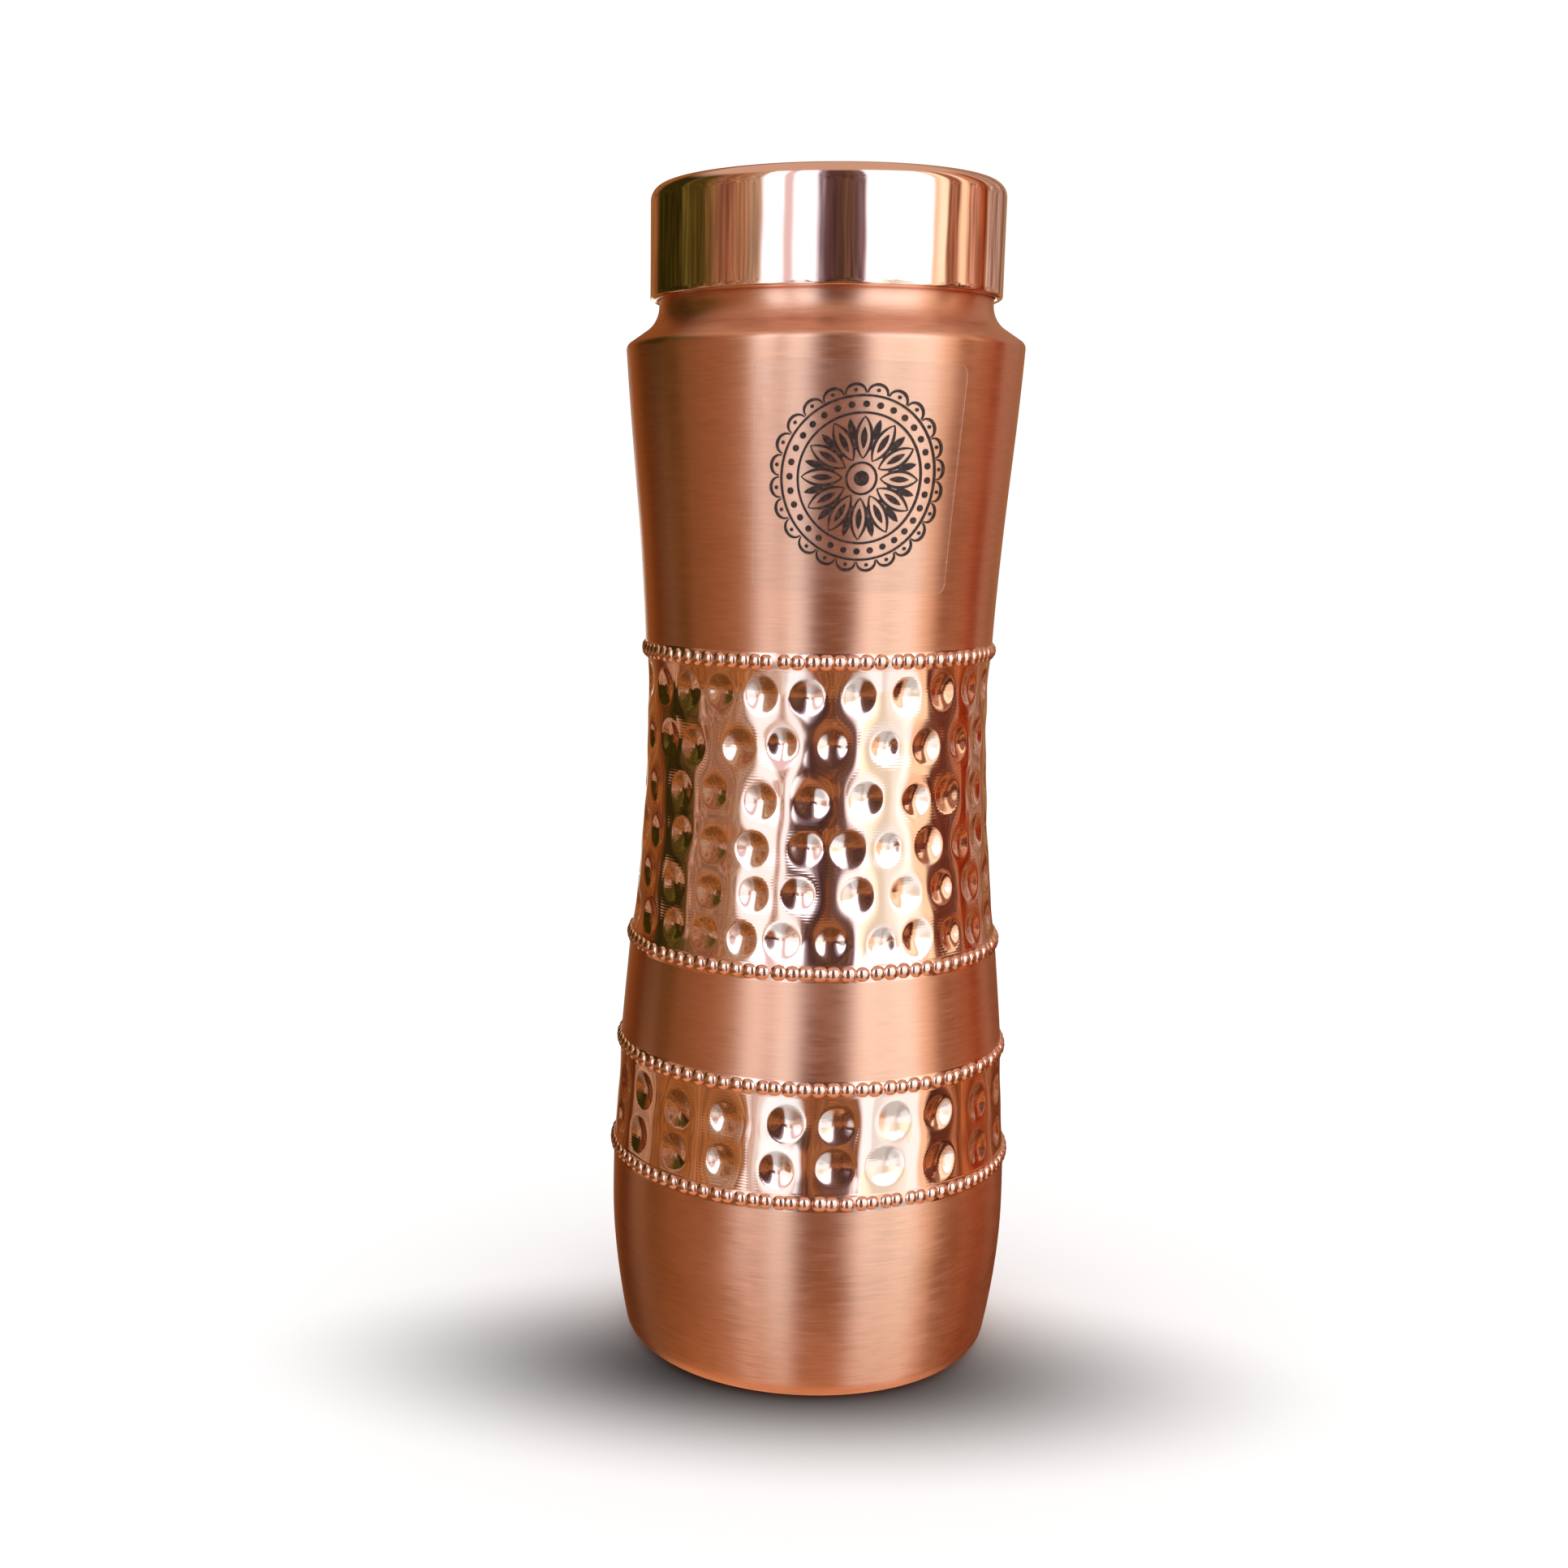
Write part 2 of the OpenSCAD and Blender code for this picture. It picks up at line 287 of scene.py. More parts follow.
@dataclass(frozen=True)
class PolishedCopper(Finish):
    """Mirror copper with the traces of its polishing.

    Attributes:
        name: The material's name.
        colour: The copper's colour, looking straight at it.
        roughness: How far the polish blurs a reflection.
        streak_depth: Depth of the up-and-down polishing streaks in metres.
        rib_depth: Depth of the level ribs left by the roller in metres.
        rib_pitch: Spacing of those ribs in metres.
        scratch_depth: Depth of the fine scratches in metres.
        bloom_tone: How dark the faint bloom is, as a share of the colour.
    """

    name: str = "polished_copper"
    colour: Colour = (0.95, 0.62, 0.50)
    roughness: float = 0.05
    streak_depth: float = 0.000004
    rib_depth: float = 0.0
    rib_pitch: float = 0.00055
    scratch_depth: float = 0.0000008
    bloom_tone: float = 0.93

    def write(self, sheet: NodeSheet) -> None:
        """Writes the streaks, the ribs, the scratches and a faint bloom."""
        place = sheet.object_place()
        streak = sheet.noise(sheet.object_place((420.0, 420.0, 26.0)), 1.0, 2.0)
        scratch = sheet.noise(sheet.object_place((2400.0, 2400.0, 160.0)), 1.0, 3.0)
        bloom = sheet.noise(place, 90.0, 4.0)
        normal = sheet.bump(streak, self.streak_depth)
        normal = sheet.bump(scratch, self.scratch_depth, normal)
        if self.rib_depth:
            normal = self.ribs(sheet, place, normal)
        marks = sheet.math("MULTIPLY", sheet.remap(bloom, 0.35, 0.75), 0.5)
        colour = sheet.blend(marks, rgba(self.colour), shade(self.colour, self.bloom_tone))
        roughness = sheet.remap(bloom, 0.3, 0.75, self.roughness * 0.7, self.roughness * 1.6)
        sheet.principled({
            "Base Color": colour, "Metallic": 1.0, "Roughness": roughness, "Normal": normal,
        })

    def ribs(self, sheet: NodeSheet, place: Feed, under: bpy.types.NodeSocket) -> bpy.types.NodeSocket:
        """Returns the normal with level ribs added to it, which show in some places only."""
        waves_in_a_step = TURN / 20
        feeds = {
            "Vector": place, "Scale": waves_in_a_step / self.rib_pitch, "Distortion": 1.5, "Detail": 1.0,
        }
        ribs = sheet.add("ShaderNodeTexWave", feeds, wave_type="BANDS", bands_direction="Z").outputs[1]
        reach = sheet.remap(sheet.noise(place, 60.0, 1.0), 0.45, 0.62)
        return sheet.bump(sheet.math("MULTIPLY", ribs, reach), self.rib_depth, under)


@dataclass(frozen=True)
class TurnedCopper(Finish):
    """Copper straight from the lathe, with rings round the axis.

    Attributes:
        name: The material's name.
        colour: The copper's colour, looking straight at it.
        roughness: How matt the metal is.
        ring_pitch: Spacing of the tool's rings in metres.
        ring_depth: Depth of the rings in metres.
        stain: How far darker patches go, from 0 to 1.
    """

    name: str = "turned_copper"
    colour: Colour = (0.90, 0.50, 0.36)
    roughness: float = 0.24
    ring_pitch: float = 0.00035
    ring_depth: float = 0.000004
    stain: float = 0.25

    def write(self, sheet: NodeSheet) -> None:
        """Writes rings that follow both height and radius, and soft stains."""
        place = sheet.object_place()
        parts = sheet.add("ShaderNodeSeparateXYZ", {0: place})
        flat = sheet.add("ShaderNodeCombineXYZ", {0: parts.outputs[0], 1: parts.outputs[1]}).outputs[0]
        radius = sheet.add("ShaderNodeVectorMath", {0: flat}, operation="LENGTH").outputs["Value"]
        across = sheet.mixed(radius, 0.9, parts.outputs[2])
        ring_place = sheet.add("ShaderNodeCombineXYZ", {0: sheet.math("DIVIDE", across, self.ring_pitch)})
        rings = sheet.noise(ring_place.outputs[0], 1.0, 3.0)
        stains = sheet.noise(place, 110.0, 4.0)
        colour = sheet.blend(
            sheet.math("MULTIPLY", sheet.remap(stains, 0.4, 0.75), self.stain),
            sheet.blend(rings, shade(self.colour, 0.88), shade(self.colour, 1.06)),
            shade(self.colour, 0.5),
        )
        roughness = sheet.remap(stains, 0.3, 0.75, self.roughness * 0.8, self.roughness * 1.5)
        sheet.principled({
            "Base Color": colour, "Metallic": 1.0, "Roughness": roughness,
            "Normal": sheet.bump(rings, self.ring_depth),
        })


@dataclass(frozen=True)
class Braze(Finish):
    """Golden brazing metal that has run into a corner.

    Attributes:
        name: The material's name.
        colour: The clean metal's colour.
        flux: The colour of the flux left on it.
    """

    name: str = "braze_metal"
    colour: Colour = (0.80, 0.58, 0.30)
    flux: Colour = (0.34, 0.24, 0.16)

    def write(self, sheet: NodeSheet) -> None:
        """Writes lumps, and patches of flux stain."""
        place = sheet.object_place()
        lumps = sheet.noise(place, 900.0, 3.0)
        stains = sheet.remap(sheet.noise(place, 320.0, 4.0), 0.45, 0.7)
        sheet.principled({
            "Base Color": sheet.blend(stains, rgba(self.colour), rgba(self.flux)),
            "Metallic": 1.0,
            "Roughness": sheet.remap(lumps, 0.3, 0.7, 0.26, 0.5),
            "Normal": sheet.bump(lumps, 0.00006),
        })


@dataclass(frozen=True)
class Silicone(Finish):
    """Milky silicone rubber.

    Attributes:
        name: The material's name.
        colour: The rubber's colour.
    """

    name: str = "silicone_rubber"
    colour: Colour = (0.78, 0.75, 0.70)

    def write(self, sheet: NodeSheet) -> None:
        """Writes a soft moulded grain and a little dust."""
        place = sheet.object_place()
        grain = sheet.noise(place, 2200.0, 2.0)
        dust = sheet.remap(sheet.noise(place, 260.0, 3.0), 0.45, 0.75)
        sheet.principled({
            "Base Color": sheet.blend(dust, rgba(self.colour), shade(self.colour, 0.86)),
            "Roughness": sheet.remap(grain, 0.3, 0.7, 0.42, 0.6),
            "Subsurface Weight": 0.15, "Subsurface Radius": (0.002, 0.0016, 0.0012),
            "Normal": sheet.bump(grain, 0.000012),
        })


@dataclass(frozen=True)
class ClearFilm(Finish):
    """Clear self-adhesive film, or the cut edge of it.

    Attributes:
        name: The material's name.
        haze: Share of milky white, which is high on the cut edge.
        roughness: Roughness of the film's gloss.
    """

    name: str = "clear_film"
    haze: float = 0.012
    roughness: float = 0.2

    def write(self, sheet: NodeSheet) -> None:
        """Writes a clear sheet with an uneven gloss and faint trapped air."""
        place = sheet.object_place()
        ripple = sheet.noise(place, 260.0, 2.0)
        air = sheet.remap(sheet.noise(place, 1500.0, 2.0), 0.62, 0.75)
        normal = sheet.bump(ripple, 0.00003)
        clear = sheet.add("ShaderNodeBsdfTransparent", {"Color": (0.985, 0.98, 0.975, 1.0)}).outputs[0]
        gloss = sheet.add("ShaderNodeBsdfGlossy", {
            "Color": (1.0, 1.0, 1.0, 1.0),
            "Roughness": sheet.remap(ripple, 0.3, 0.7, self.roughness * 0.8, self.roughness * 1.3),
            "Normal": normal,
        }).outputs[0]
        milk = sheet.add("ShaderNodeBsdfDiffuse", {"Color": (0.95, 0.86, 0.8, 1.0)}).outputs[0]
        facing = sheet.add("ShaderNodeFresnel", {"IOR": 1.46, "Normal": normal}).outputs[0]
        front = sheet.math("SUBTRACT", 1.0, sheet.add("ShaderNodeNewGeometry").outputs["Backfacing"])
        facing = sheet.math("MULTIPLY", facing, front)
        coated = sheet.add("ShaderNodeMixShader", {0: facing, 1: clear, 2: gloss}).outputs[0]
        haze = sheet.math("ADD", sheet.math("MULTIPLY", air, self.haze * 4), self.haze)
        surface = sheet.add("ShaderNodeMixShader", {0: haze, 1: coated, 2: milk}).outputs[0]
        sheet.add("ShaderNodeOutputMaterial", {"Surface": surface})


@dataclass(frozen=True)
class PrintInk(Finish):
    """Dark brown screen ink.

    Attributes:
        name: The material's name.
        colour: The ink's colour where it lies thick.
        thin: The ink's colour where it lies thin.
    """

    name: str = "print_ink"
    colour: Colour = (0.022, 0.009, 0.007)
    thin: Colour = (0.10, 0.035, 0.022)

    def write(self, sheet: NodeSheet) -> None:
        """Writes an uneven coat with a slight sheen."""
        place = sheet.object_place()
        coat = sheet.remap(sheet.noise(place, 1400.0, 3.0), 0.4, 0.75)
        sheet.principled({
            "Base Color": sheet.blend(coat, rgba(self.colour), rgba(self.thin)),
            "Roughness": sheet.remap(coat, 0.0, 1.0, 0.4, 0.55),
            "Specular IOR Level": 0.35,
            "Normal": sheet.bump(coat, 0.000006),
        })


BRUSHED = BrushedCopper()
MIRROR = PolishedCopper()
HAMMERED = PolishedCopper(name="hammered_copper", roughness=0.07, streak_depth=0.0000015,
                          rib_depth=0.0000035)
BEAD_COPPER = PolishedCopper(name="beaded_copper", colour=(0.94, 0.57, 0.44), roughness=0.12,
                             streak_depth=0.000002)
TURNED = TurnedCopper()
BARE = TurnedCopper(name="bare_copper", colour=(0.78, 0.36, 0.22), roughness=0.42, ring_pitch=0.0009,
                    ring_depth=0.000008, stain=0.6)
BRAZE = Braze()
SILICONE = Silicone()
FILM = ClearFilm()
FILM_EDGE = ClearFilm(name="clear_film_edge", haze=0.38, roughness=0.3)
INK = PrintInk()


# ---------------------------------------------------------------------------------------------
# The bench: making and moving metal
# ---------------------------------------------------------------------------------------------


def arc(centre: Point, radius: float, start: float, end: float, steps: int) -> Path:
    """Lists points [radius, height] along an arc.

    Args:
        centre: The arc's centre.
        radius: The arc's radius.
        start: First angle in degrees.
        end: Last angle in degrees.
        steps: Number of equal steps.

    Returns:
        The points, the first and the last included.
    """
    angles = [math.radians(start + (end - start) * i / steps) for i in range(steps + 1)]
    return [(centre[0] + radius * math.cos(a), centre[1] + radius * math.sin(a)) for a in angles]


def other_face(path: Path, thickness: float) -> Path:
    """Lists where a sheet's other face lies, to the left of its path.

    Args:
        path: The sheet's outside.
        thickness: The sheet's thickness.

    Returns:
        One point for each point of the path, kept off the far side of the axis.
    """
    points = np.array(path)
    steps = np.diff(points, axis=0)
    steps /= np.linalg.norm(steps, axis=1)[:, None]
    left = np.stack([-steps[:, 1], steps[:, 0]], axis=1)
    before = np.vstack([left[:1], left])
    after = np.vstack([left, left[-1:]])
    across = (before + after) / (1 + (before * after).sum(axis=1))[:, None]
    moved = points + thickness * across
    return [(max(r, 0.0), z) for r, z in moved]


def smooth_step(value: np.ndarray, low: float, high: float) -> np.ndarray:
    """Returns 0 at low and before, 1 at high and after, and an S-curve between."""
    t = np.clip((value - low) / (high - low), 0.0, 1.0)
    return t * t * (3 - 2 * t)


def around(points: np.ndarray) -> np.ndarray:
    """Returns each point's angle round the bottle in radians, 0 on the label's axis."""
    return np.arctan2(points[:, 0], -points[:, 1])


def off_axis(points: np.ndarray) -> np.ndarray:
    """Returns each point's distance from the axis."""
    return np.hypot(points[:, 0], points[:, 1])


def shift_radius(points: np.ndarray, rise: np.ndarray) -> np.ndarray:
    """Returns the points moved away from the axis by a rise each."""
    radius = off_axis(points)
    scale = (radius + rise) / np.maximum(radius, 1e-6)
    return np.column_stack([points[:, 0] * scale, points[:, 1] * scale, points[:, 2]])


def hand_waves(
    points: np.ndarray, waves: Sequence[Tuple[int, float]], lean: float, seed: int, low: float = 0.0
) -> np.ndarray:
    """Returns the slow waves that hand work leaves round a wall.

    Args:
        points: One row [x, y, z] for each point.
        waves: The number of waves round the axis and their size, for each set of waves.
        lean: The most that a set leans, in radians a millimetre of height.
        seed: Seed of each set's lean and place.
        low: Height from which the lean is counted.

    Returns:
        How far each point moves away from the axis.
    """
    draw = np.random.default_rng(seed)
    angle, height = around(points), points[:, 2] - low
    rise = np.zeros(len(points))
    for count, size in waves:
        tilt, phase = draw.uniform(-lean, lean), draw.uniform(0, TURN)
        rise += size * np.sin(count * angle + tilt * count * height + phase)
    return rise


def outwards(bm: bmesh.types.BMesh) -> None:
    """Turns every face outwards."""
    bmesh.ops.recalc_face_normals(bm, faces=bm.faces[:])


def place_in_scene(name: str, data: bpy.types.ID) -> bpy.types.Object:
    """Returns a new object in the scene that shows a mesh, a light or a camera."""
    thing = bpy.data.objects.new(name, data)
    bpy.context.scene.collection.objects.link(thing)
    return thing


class Workpiece:
    """A piece on the bench, in millimetres."""

    def __init__(self) -> None:
        """Starts with nothing."""
        self.bm = bmesh.new()

    def turn(self, outline: Path, columns: int) -> "Workpiece":
        """Spins a closed outline round the axis into a closed solid.

        A sector is spun, and then doubled until it goes all the way round.

        Args:
            outline: Points [radius, height] in order. The last joins the first.
            columns: Number of steps round the axis.

        Returns:
            The workpiece itself.
        """
        verts = [self.bm.verts.new((0.0, -r, z)) for r, z in outline]
        edges = [self.bm.edges.new((a, b)) for a, b in zip(verts, verts[1:] + verts[:1])]
        steps = columns
        while steps % 2 == 0 and steps > 8:
            steps //= 2
        angle = TURN * steps / columns
        bmesh.ops.spin(
            self.bm, geom=verts + edges, cent=(0, 0, 0), axis=(0, 0, 1), dvec=(0, 0, 0),
            angle=angle, steps=steps,
        )
        while steps < columns:
            everything = self.bm.verts[:] + self.bm.edges[:] + self.bm.faces[:]
            copies = bmesh.ops.duplicate(self.bm, geom=everything)["geom"]
            turned = [part for part in copies if isinstance(part, bmesh.types.BMVert)]
            bmesh.ops.rotate(self.bm, cent=(0, 0, 0), matrix=Matrix.Rotation(angle, 3, "Z"), verts=turned)
            steps *= 2
            angle *= 2
        return self.close()

    def close(self) -> "Workpiece":
        """Merges doubles, drops faces with no area and turns every face outwards."""
        bmesh.ops.remove_doubles(self.bm, verts=self.bm.verts[:], dist=1e-4)
        bmesh.ops.dissolve_degenerate(self.bm, edges=self.bm.edges[:], dist=1e-5)
        outwards(self.bm)
        return self

    def sheet(self, path: Path, thickness: float, columns: int) -> "Workpiece":
        """Spins a sheet whose outside follows a path.

        Args:
            path: The outside, with the metal on its left.
            thickness: The sheet's thickness.
            columns: Number of steps round the axis.

        Returns:
            The workpiece itself.
        """
        return self.turn(path + other_face(path, thickness)[::-1], columns)

    def move(self, rule: Callable[[np.ndarray], np.ndarray]) -> "Workpiece":
        """Moves every point by a rule.

        Args:
            rule: Takes and returns an array with one row [x, y, z] for each point.

        Returns:
            The workpiece itself.
        """
        verts = self.bm.verts[:]
        moved = rule(np.array([v.co for v in verts]))
        for vert, place in zip(verts, moved):
            vert.co = place
        return self

    def finish(
        self, name: str, body: Body, slot: Slot, finishes: Sequence[Finish], replaces: str = "",
        choose: Optional[Callable[[np.ndarray, np.ndarray], np.ndarray]] = None, sharp: float = 40.0,
    ) -> bpy.types.Object:
        """Makes the object, dresses it and puts it on its body.

        Args:
            name: The piece's name.
            body: The body that it rides on.
            slot: The record's slot for its finish. It is not used.
            finishes: The finishes, in the order of the material slots.
            replaces: The CAD node that the piece stands for, if it stands for one.
            choose: Gives each face's place in finishes from the faces' centres and normals.
            sharp: Edges that turn by more than this many degrees stay crisp.

        Returns:
            The finished object.
        """
        if choose is not None:
            self.bm.faces.ensure_lookup_table()
            centres = np.array([f.calc_center_median() for f in self.bm.faces])
            normals = np.array([f.normal for f in self.bm.faces])
            for face, place in zip(self.bm.faces, choose(centres, normals)):
                face.material_index = int(place)
        bmesh.ops.scale(self.bm, vec=(MM, MM, MM), verts=self.bm.verts[:])
        mesh = bpy.data.meshes.new(name)
        self.bm.to_mesh(mesh)
        self.bm.free()
        mesh.shade_smooth()
        mesh.set_sharp_from_angle(angle=math.radians(sharp))
        piece = place_in_scene(name, mesh)
        for finish in finishes:
            mesh.materials.append(finish.material())
        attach(piece, body.value)
        if replaces:
            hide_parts(replaces)
        mesh.calc_loop_triangles()
        LOG.info("%s: %d triangles on %s", name, len(mesh.loop_triangles), body.value)
        return piece


# ---------------------------------------------------------------------------------------------
# The wall
# ---------------------------------------------------------------------------------------------


@dataclass
class Wall:
    """The outline of the copper wall, from the heel to the ledge on the neck.

    Attributes:
        belly_r: Widest radius.
        belly_z: Height of the widest point.
        waist_r: Radius at the waist.
        waist_z: Height of the waist.
        shoulder_r: Radius under the shoulder.
        shoulder_z: Height where the wall turns in at the shoulder.
        thickness: Thickness of the sheet.
        heel_z: Height where the small round corner meets the fuller curve of the heel.
        heel_drop: How much narrower the heel is than the belly.
        heel_power: How fast the heel's curve tightens.
        lean: How far the wall leans out a millimetre under the shoulder.
        corner: Radius of the shoulder's corner.
        corner_turn: Angle in degrees through which that corner turns.
        neck_r: Radius of the neck.
        neck_z: Height where the shoulder has curved up into the neck.
        ledge_z: Height of the ledge on top of the neck.
        ledge_fold: Radius of the ledge's outer corner.
        ledge_r: Radius of the hole in the ledge.
        lip_r: Radius of the turned-in lip inside the standing ring.
        lip_top: Height of the lip's upper edge.
        lip_fold: Radius of the standing ring's inner corner.
        true_foot: Heights between which the wall's unevenness sets in.
    """

    belly_r: float = 38.8
    belly_z: float = 29.0
    waist_r: float = 32.5
    waist_z: float = 130.0
    shoulder_r: float = 36.4
    shoulder_z: float = 191.8
    thickness: float = 0.6
    heel_z: float = 3.5
    heel_drop: float = 3.3
    heel_power: float = 1.85
    lean: float = 0.06
    corner: float = 1.5
    corner_turn: float = 56.0
    neck_r: float = 30.4
    neck_z: float = 199.6
    ledge_z: float = 201.4
    ledge_fold: float = 1.0
    ledge_r: float = 28.0
    lip_r: float = 28.2
    lip_top: float = 4.5
    lip_fold: float = 1.2
    true_foot: Span = (4.0, 22.0)

    def radius(self, z: float) -> float:
        """Returns the outer radius at a height between the heel and the shoulder."""
        if z <= self.belly_z:
            return self.belly_r - self.heel_drop * ((self.belly_z - z) / self.belly_z) ** self.heel_power
        if z <= self.waist_z:
            t = (z - self.belly_z) / (self.waist_z - self.belly_z)
            middle = (self.belly_r + self.waist_r) / 2
            return middle + (self.belly_r - self.waist_r) / 2 * math.cos(math.pi * t)
        height = self.shoulder_z - self.waist_z
        t = (z - self.waist_z) / height
        rise = (3 * t * t - 2 * t ** 3) * (self.shoulder_r - self.waist_r)
        return self.waist_r + rise + (t ** 3 - t * t) * height * self.lean

    def stretch(self, low: float, high: float, step: float) -> Path:
        """Lists wall points from low to high, both included, about a step apart."""
        count = max(1, round((high - low) / step))
        heights = [low + (high - low) * i / count for i in range(count + 1)]
        return [(self.radius(z), z) for z in heights]

    def heel(self, steps: int) -> Path:
        """Lists the standing ring's points, from the lip inside it to the heel."""
        slope = self.heel_drop * self.heel_power / self.belly_z
        slope *= ((self.belly_z - self.heel_z) / self.belly_z) ** (self.heel_power - 1)
        turn = math.degrees(math.atan2(1, slope))
        corner = self.heel_z / (1 - math.cos(math.radians(turn)))
        foot_r = self.radius(self.heel_z) - corner * math.sin(math.radians(turn))
        lip = arc((self.lip_r + self.lip_fold, self.lip_fold), self.lip_fold, 180, 270, steps)
        return [(self.lip_r, self.lip_top)] + lip + arc((foot_r, corner), corner, -90, turn - 90, steps)

    def shoulder(self, steps: int) -> Path:
        """Lists the points from the shoulder's corner over the neck to the hole in the ledge."""
        lean = math.atan(self.lean)
        centre = (
            self.shoulder_r - self.corner * math.cos(lean),
            self.shoulder_z + self.corner * math.sin(lean),
        )
        turn = math.radians(self.corner_turn)
        end = (centre[0] + self.corner * math.cos(turn), centre[1] + self.corner * math.sin(turn))
        rise = (self.neck_z - end[1]) * math.sin(turn) - (end[0] - self.neck_r) * math.cos(turn)
        hollow = rise / (1 - math.cos(turn))
        corner = arc(centre, self.corner, -math.degrees(lean), self.corner_turn, steps)
        neck = arc((self.neck_r + hollow, self.neck_z), hollow, 180 + self.corner_turn, 180, 2 * steps)
        fold = (self.neck_r - self.ledge_fold, self.ledge_z - self.ledge_fold)
        return corner[1:] + neck + arc(fold, self.ledge_fold, 0, 90, steps) + [(self.ledge_r, self.ledge_z)]

    def sway(self, points: np.ndarray) -> np.ndarray:
        """Moves points by the slight unevenness of a wall that was beaten and spun by hand.

        Args:
            points: One row [x, y, z] for each point.

        Returns:
            The moved points. The base and the neck stay true.
        """
        rise = hand_waves(points, ((2, 0.03), (3, 0.022), (5, 0.014), (7, 0.009), (11, 0.005)), 0.03, SEED)
        hold = smooth_step(points[:, 2], *self.true_foot)
        hold *= 1 - smooth_step(points[:, 2], self.shoulder_z, self.neck_z)
        return shift_radius(points, rise * hold)


@dataclass(frozen=True)
class HammerRow:
    """One row of hammer marks.

    Attributes:
        height: Height of the row.
        count: Marks round the bottle.
        turn: Angle of one of the marks from the label's axis, in degrees.
    """

    height: float
    count: int
    turn: float


@dataclass(frozen=True)
class Mark:
    """One hammer mark: its angle, height, radius, depth and how much wider than tall it is."""

    angle: float
    height: float
    radius: float
    depth: float
    oval: float


@dataclass
class HammeredBand:
    """A polished band of the wall with rows of hammer marks.

    Attributes:
        name: The piece's name.
        low: Height of its lower edge.
        high: Height of its upper edge.
        rows: Its rows of marks.
        mark_r: Radius of a mark.
        depth: Depth of a mark's cup.
        softness: How gently a cup's edge runs out, from 0 to 1.
        hollow: Depth of the wide hollow round a mark.
        hollow_reach: Reach of the wide hollow, in mark radii.
        slip: How far a mark strays along its row, as a standard deviation.
        drift: How far a mark strays from its row's height, as a standard deviation.
        seed: Seed of the hand's unevenness.
        columns: Steps round the axis.
        row_step: Spacing of the rows of points outside.
        inner_step: Spacing of the rows of points inside.
        edge: How far from the band's edges the marks fade.
    """

    name: str
    low: float
    high: float
    rows: Tuple[HammerRow, ...]
    mark_r: float = 3.15
    depth: float = 0.48
    softness: float = 0.3
    hollow: float = 0.53
    hollow_reach: float = 1.4
    slip: float = 0.55
    drift: float = 0.35
    seed: int = SEED
    columns: int = 576
    row_step: float = 0.4
    inner_step: float = 1.9
    edge: float = 1.7

    def marks(self, wall: Wall) -> List[Mark]:
        """Places every hammer mark, each a little off its row.

        Args:
            wall: The wall that carries the band.

        Returns:
            The marks.
        """
        draw = np.random.default_rng(self.seed)
        marks = []
        for row in self.rows:
            for i in range(row.count):
                slip = draw.normal(0, self.slip) / wall.radius(row.height)
                marks.append(Mark(
                    angle=math.radians(row.turn) + TURN * i / row.count + slip,
                    height=row.height + draw.normal(0, self.drift),
                    radius=self.mark_r * draw.uniform(0.88, 1.1),
                    depth=self.depth * draw.uniform(0.8, 1.15),
                    oval=draw.uniform(0.92, 1.06),
                ))
        return marks

    def strike(self, wall: Wall, points: np.ndarray) -> np.ndarray:
        """Beats the marks into the band.

        Args:
            wall: The wall that carries the band.
            points: One row [x, y, z] for each point.

        Returns:
            The moved points.
        """
        angle = around(points)
        height = points[:, 2]
        reach = 3.2
        cups, hollows = np.zeros(len(points)), np.zeros(len(points))
        for mark in self.marks(wall):
            near = np.abs(height - mark.height) < reach * mark.radius
            off = (angle[near] - mark.angle + math.pi) % TURN - math.pi
            x = off * wall.radius(mark.height) / mark.oval
            away = np.hypot(x, height[near] - mark.height) / mark.radius
            cup = 1 - np.minimum(away, 1) ** 2
            cup *= 1 - self.softness + self.softness * cup
            cups[near] = np.maximum(cups[near], mark.depth * cup)
            hollows[near] += self.hollow * np.exp(-((away / self.hollow_reach) ** 2))
        fade = smooth_step(height, self.low, self.low + self.edge)
        fade *= 1 - smooth_step(height, self.high - self.edge, self.high)
        return shift_radius(points, -(cups + hollows) * fade)

    def build(self, wall: Wall) -> bpy.types.Object:
        """Makes the band.

        Args:
            wall: The wall that carries the band.

        Returns:
            The finished piece.
        """
        outside = wall.stretch(self.low, self.high, self.row_step)
        inside = [(r - wall.thickness, z) for r, z in wall.stretch(self.low, self.high, self.inner_step)]
        work = Workpiece().turn(outside + inside[::-1], self.columns)
        work.move(lambda points: wall.sway(self.strike(wall, points)))
        return work.finish(
            self.name, Body.BOTTLE, Slot.POLISHED, (HAMMERED, BARE), choose=faces_inwards,
        )


def faces_inwards(centres: np.ndarray, normals: np.ndarray) -> np.ndarray:
    """Returns 1 for each face that looks at the axis, and 0 for the others."""
    return (centres[:, 0] * normals[:, 0] + centres[:, 1] * normals[:, 1] < 0).astype(int)


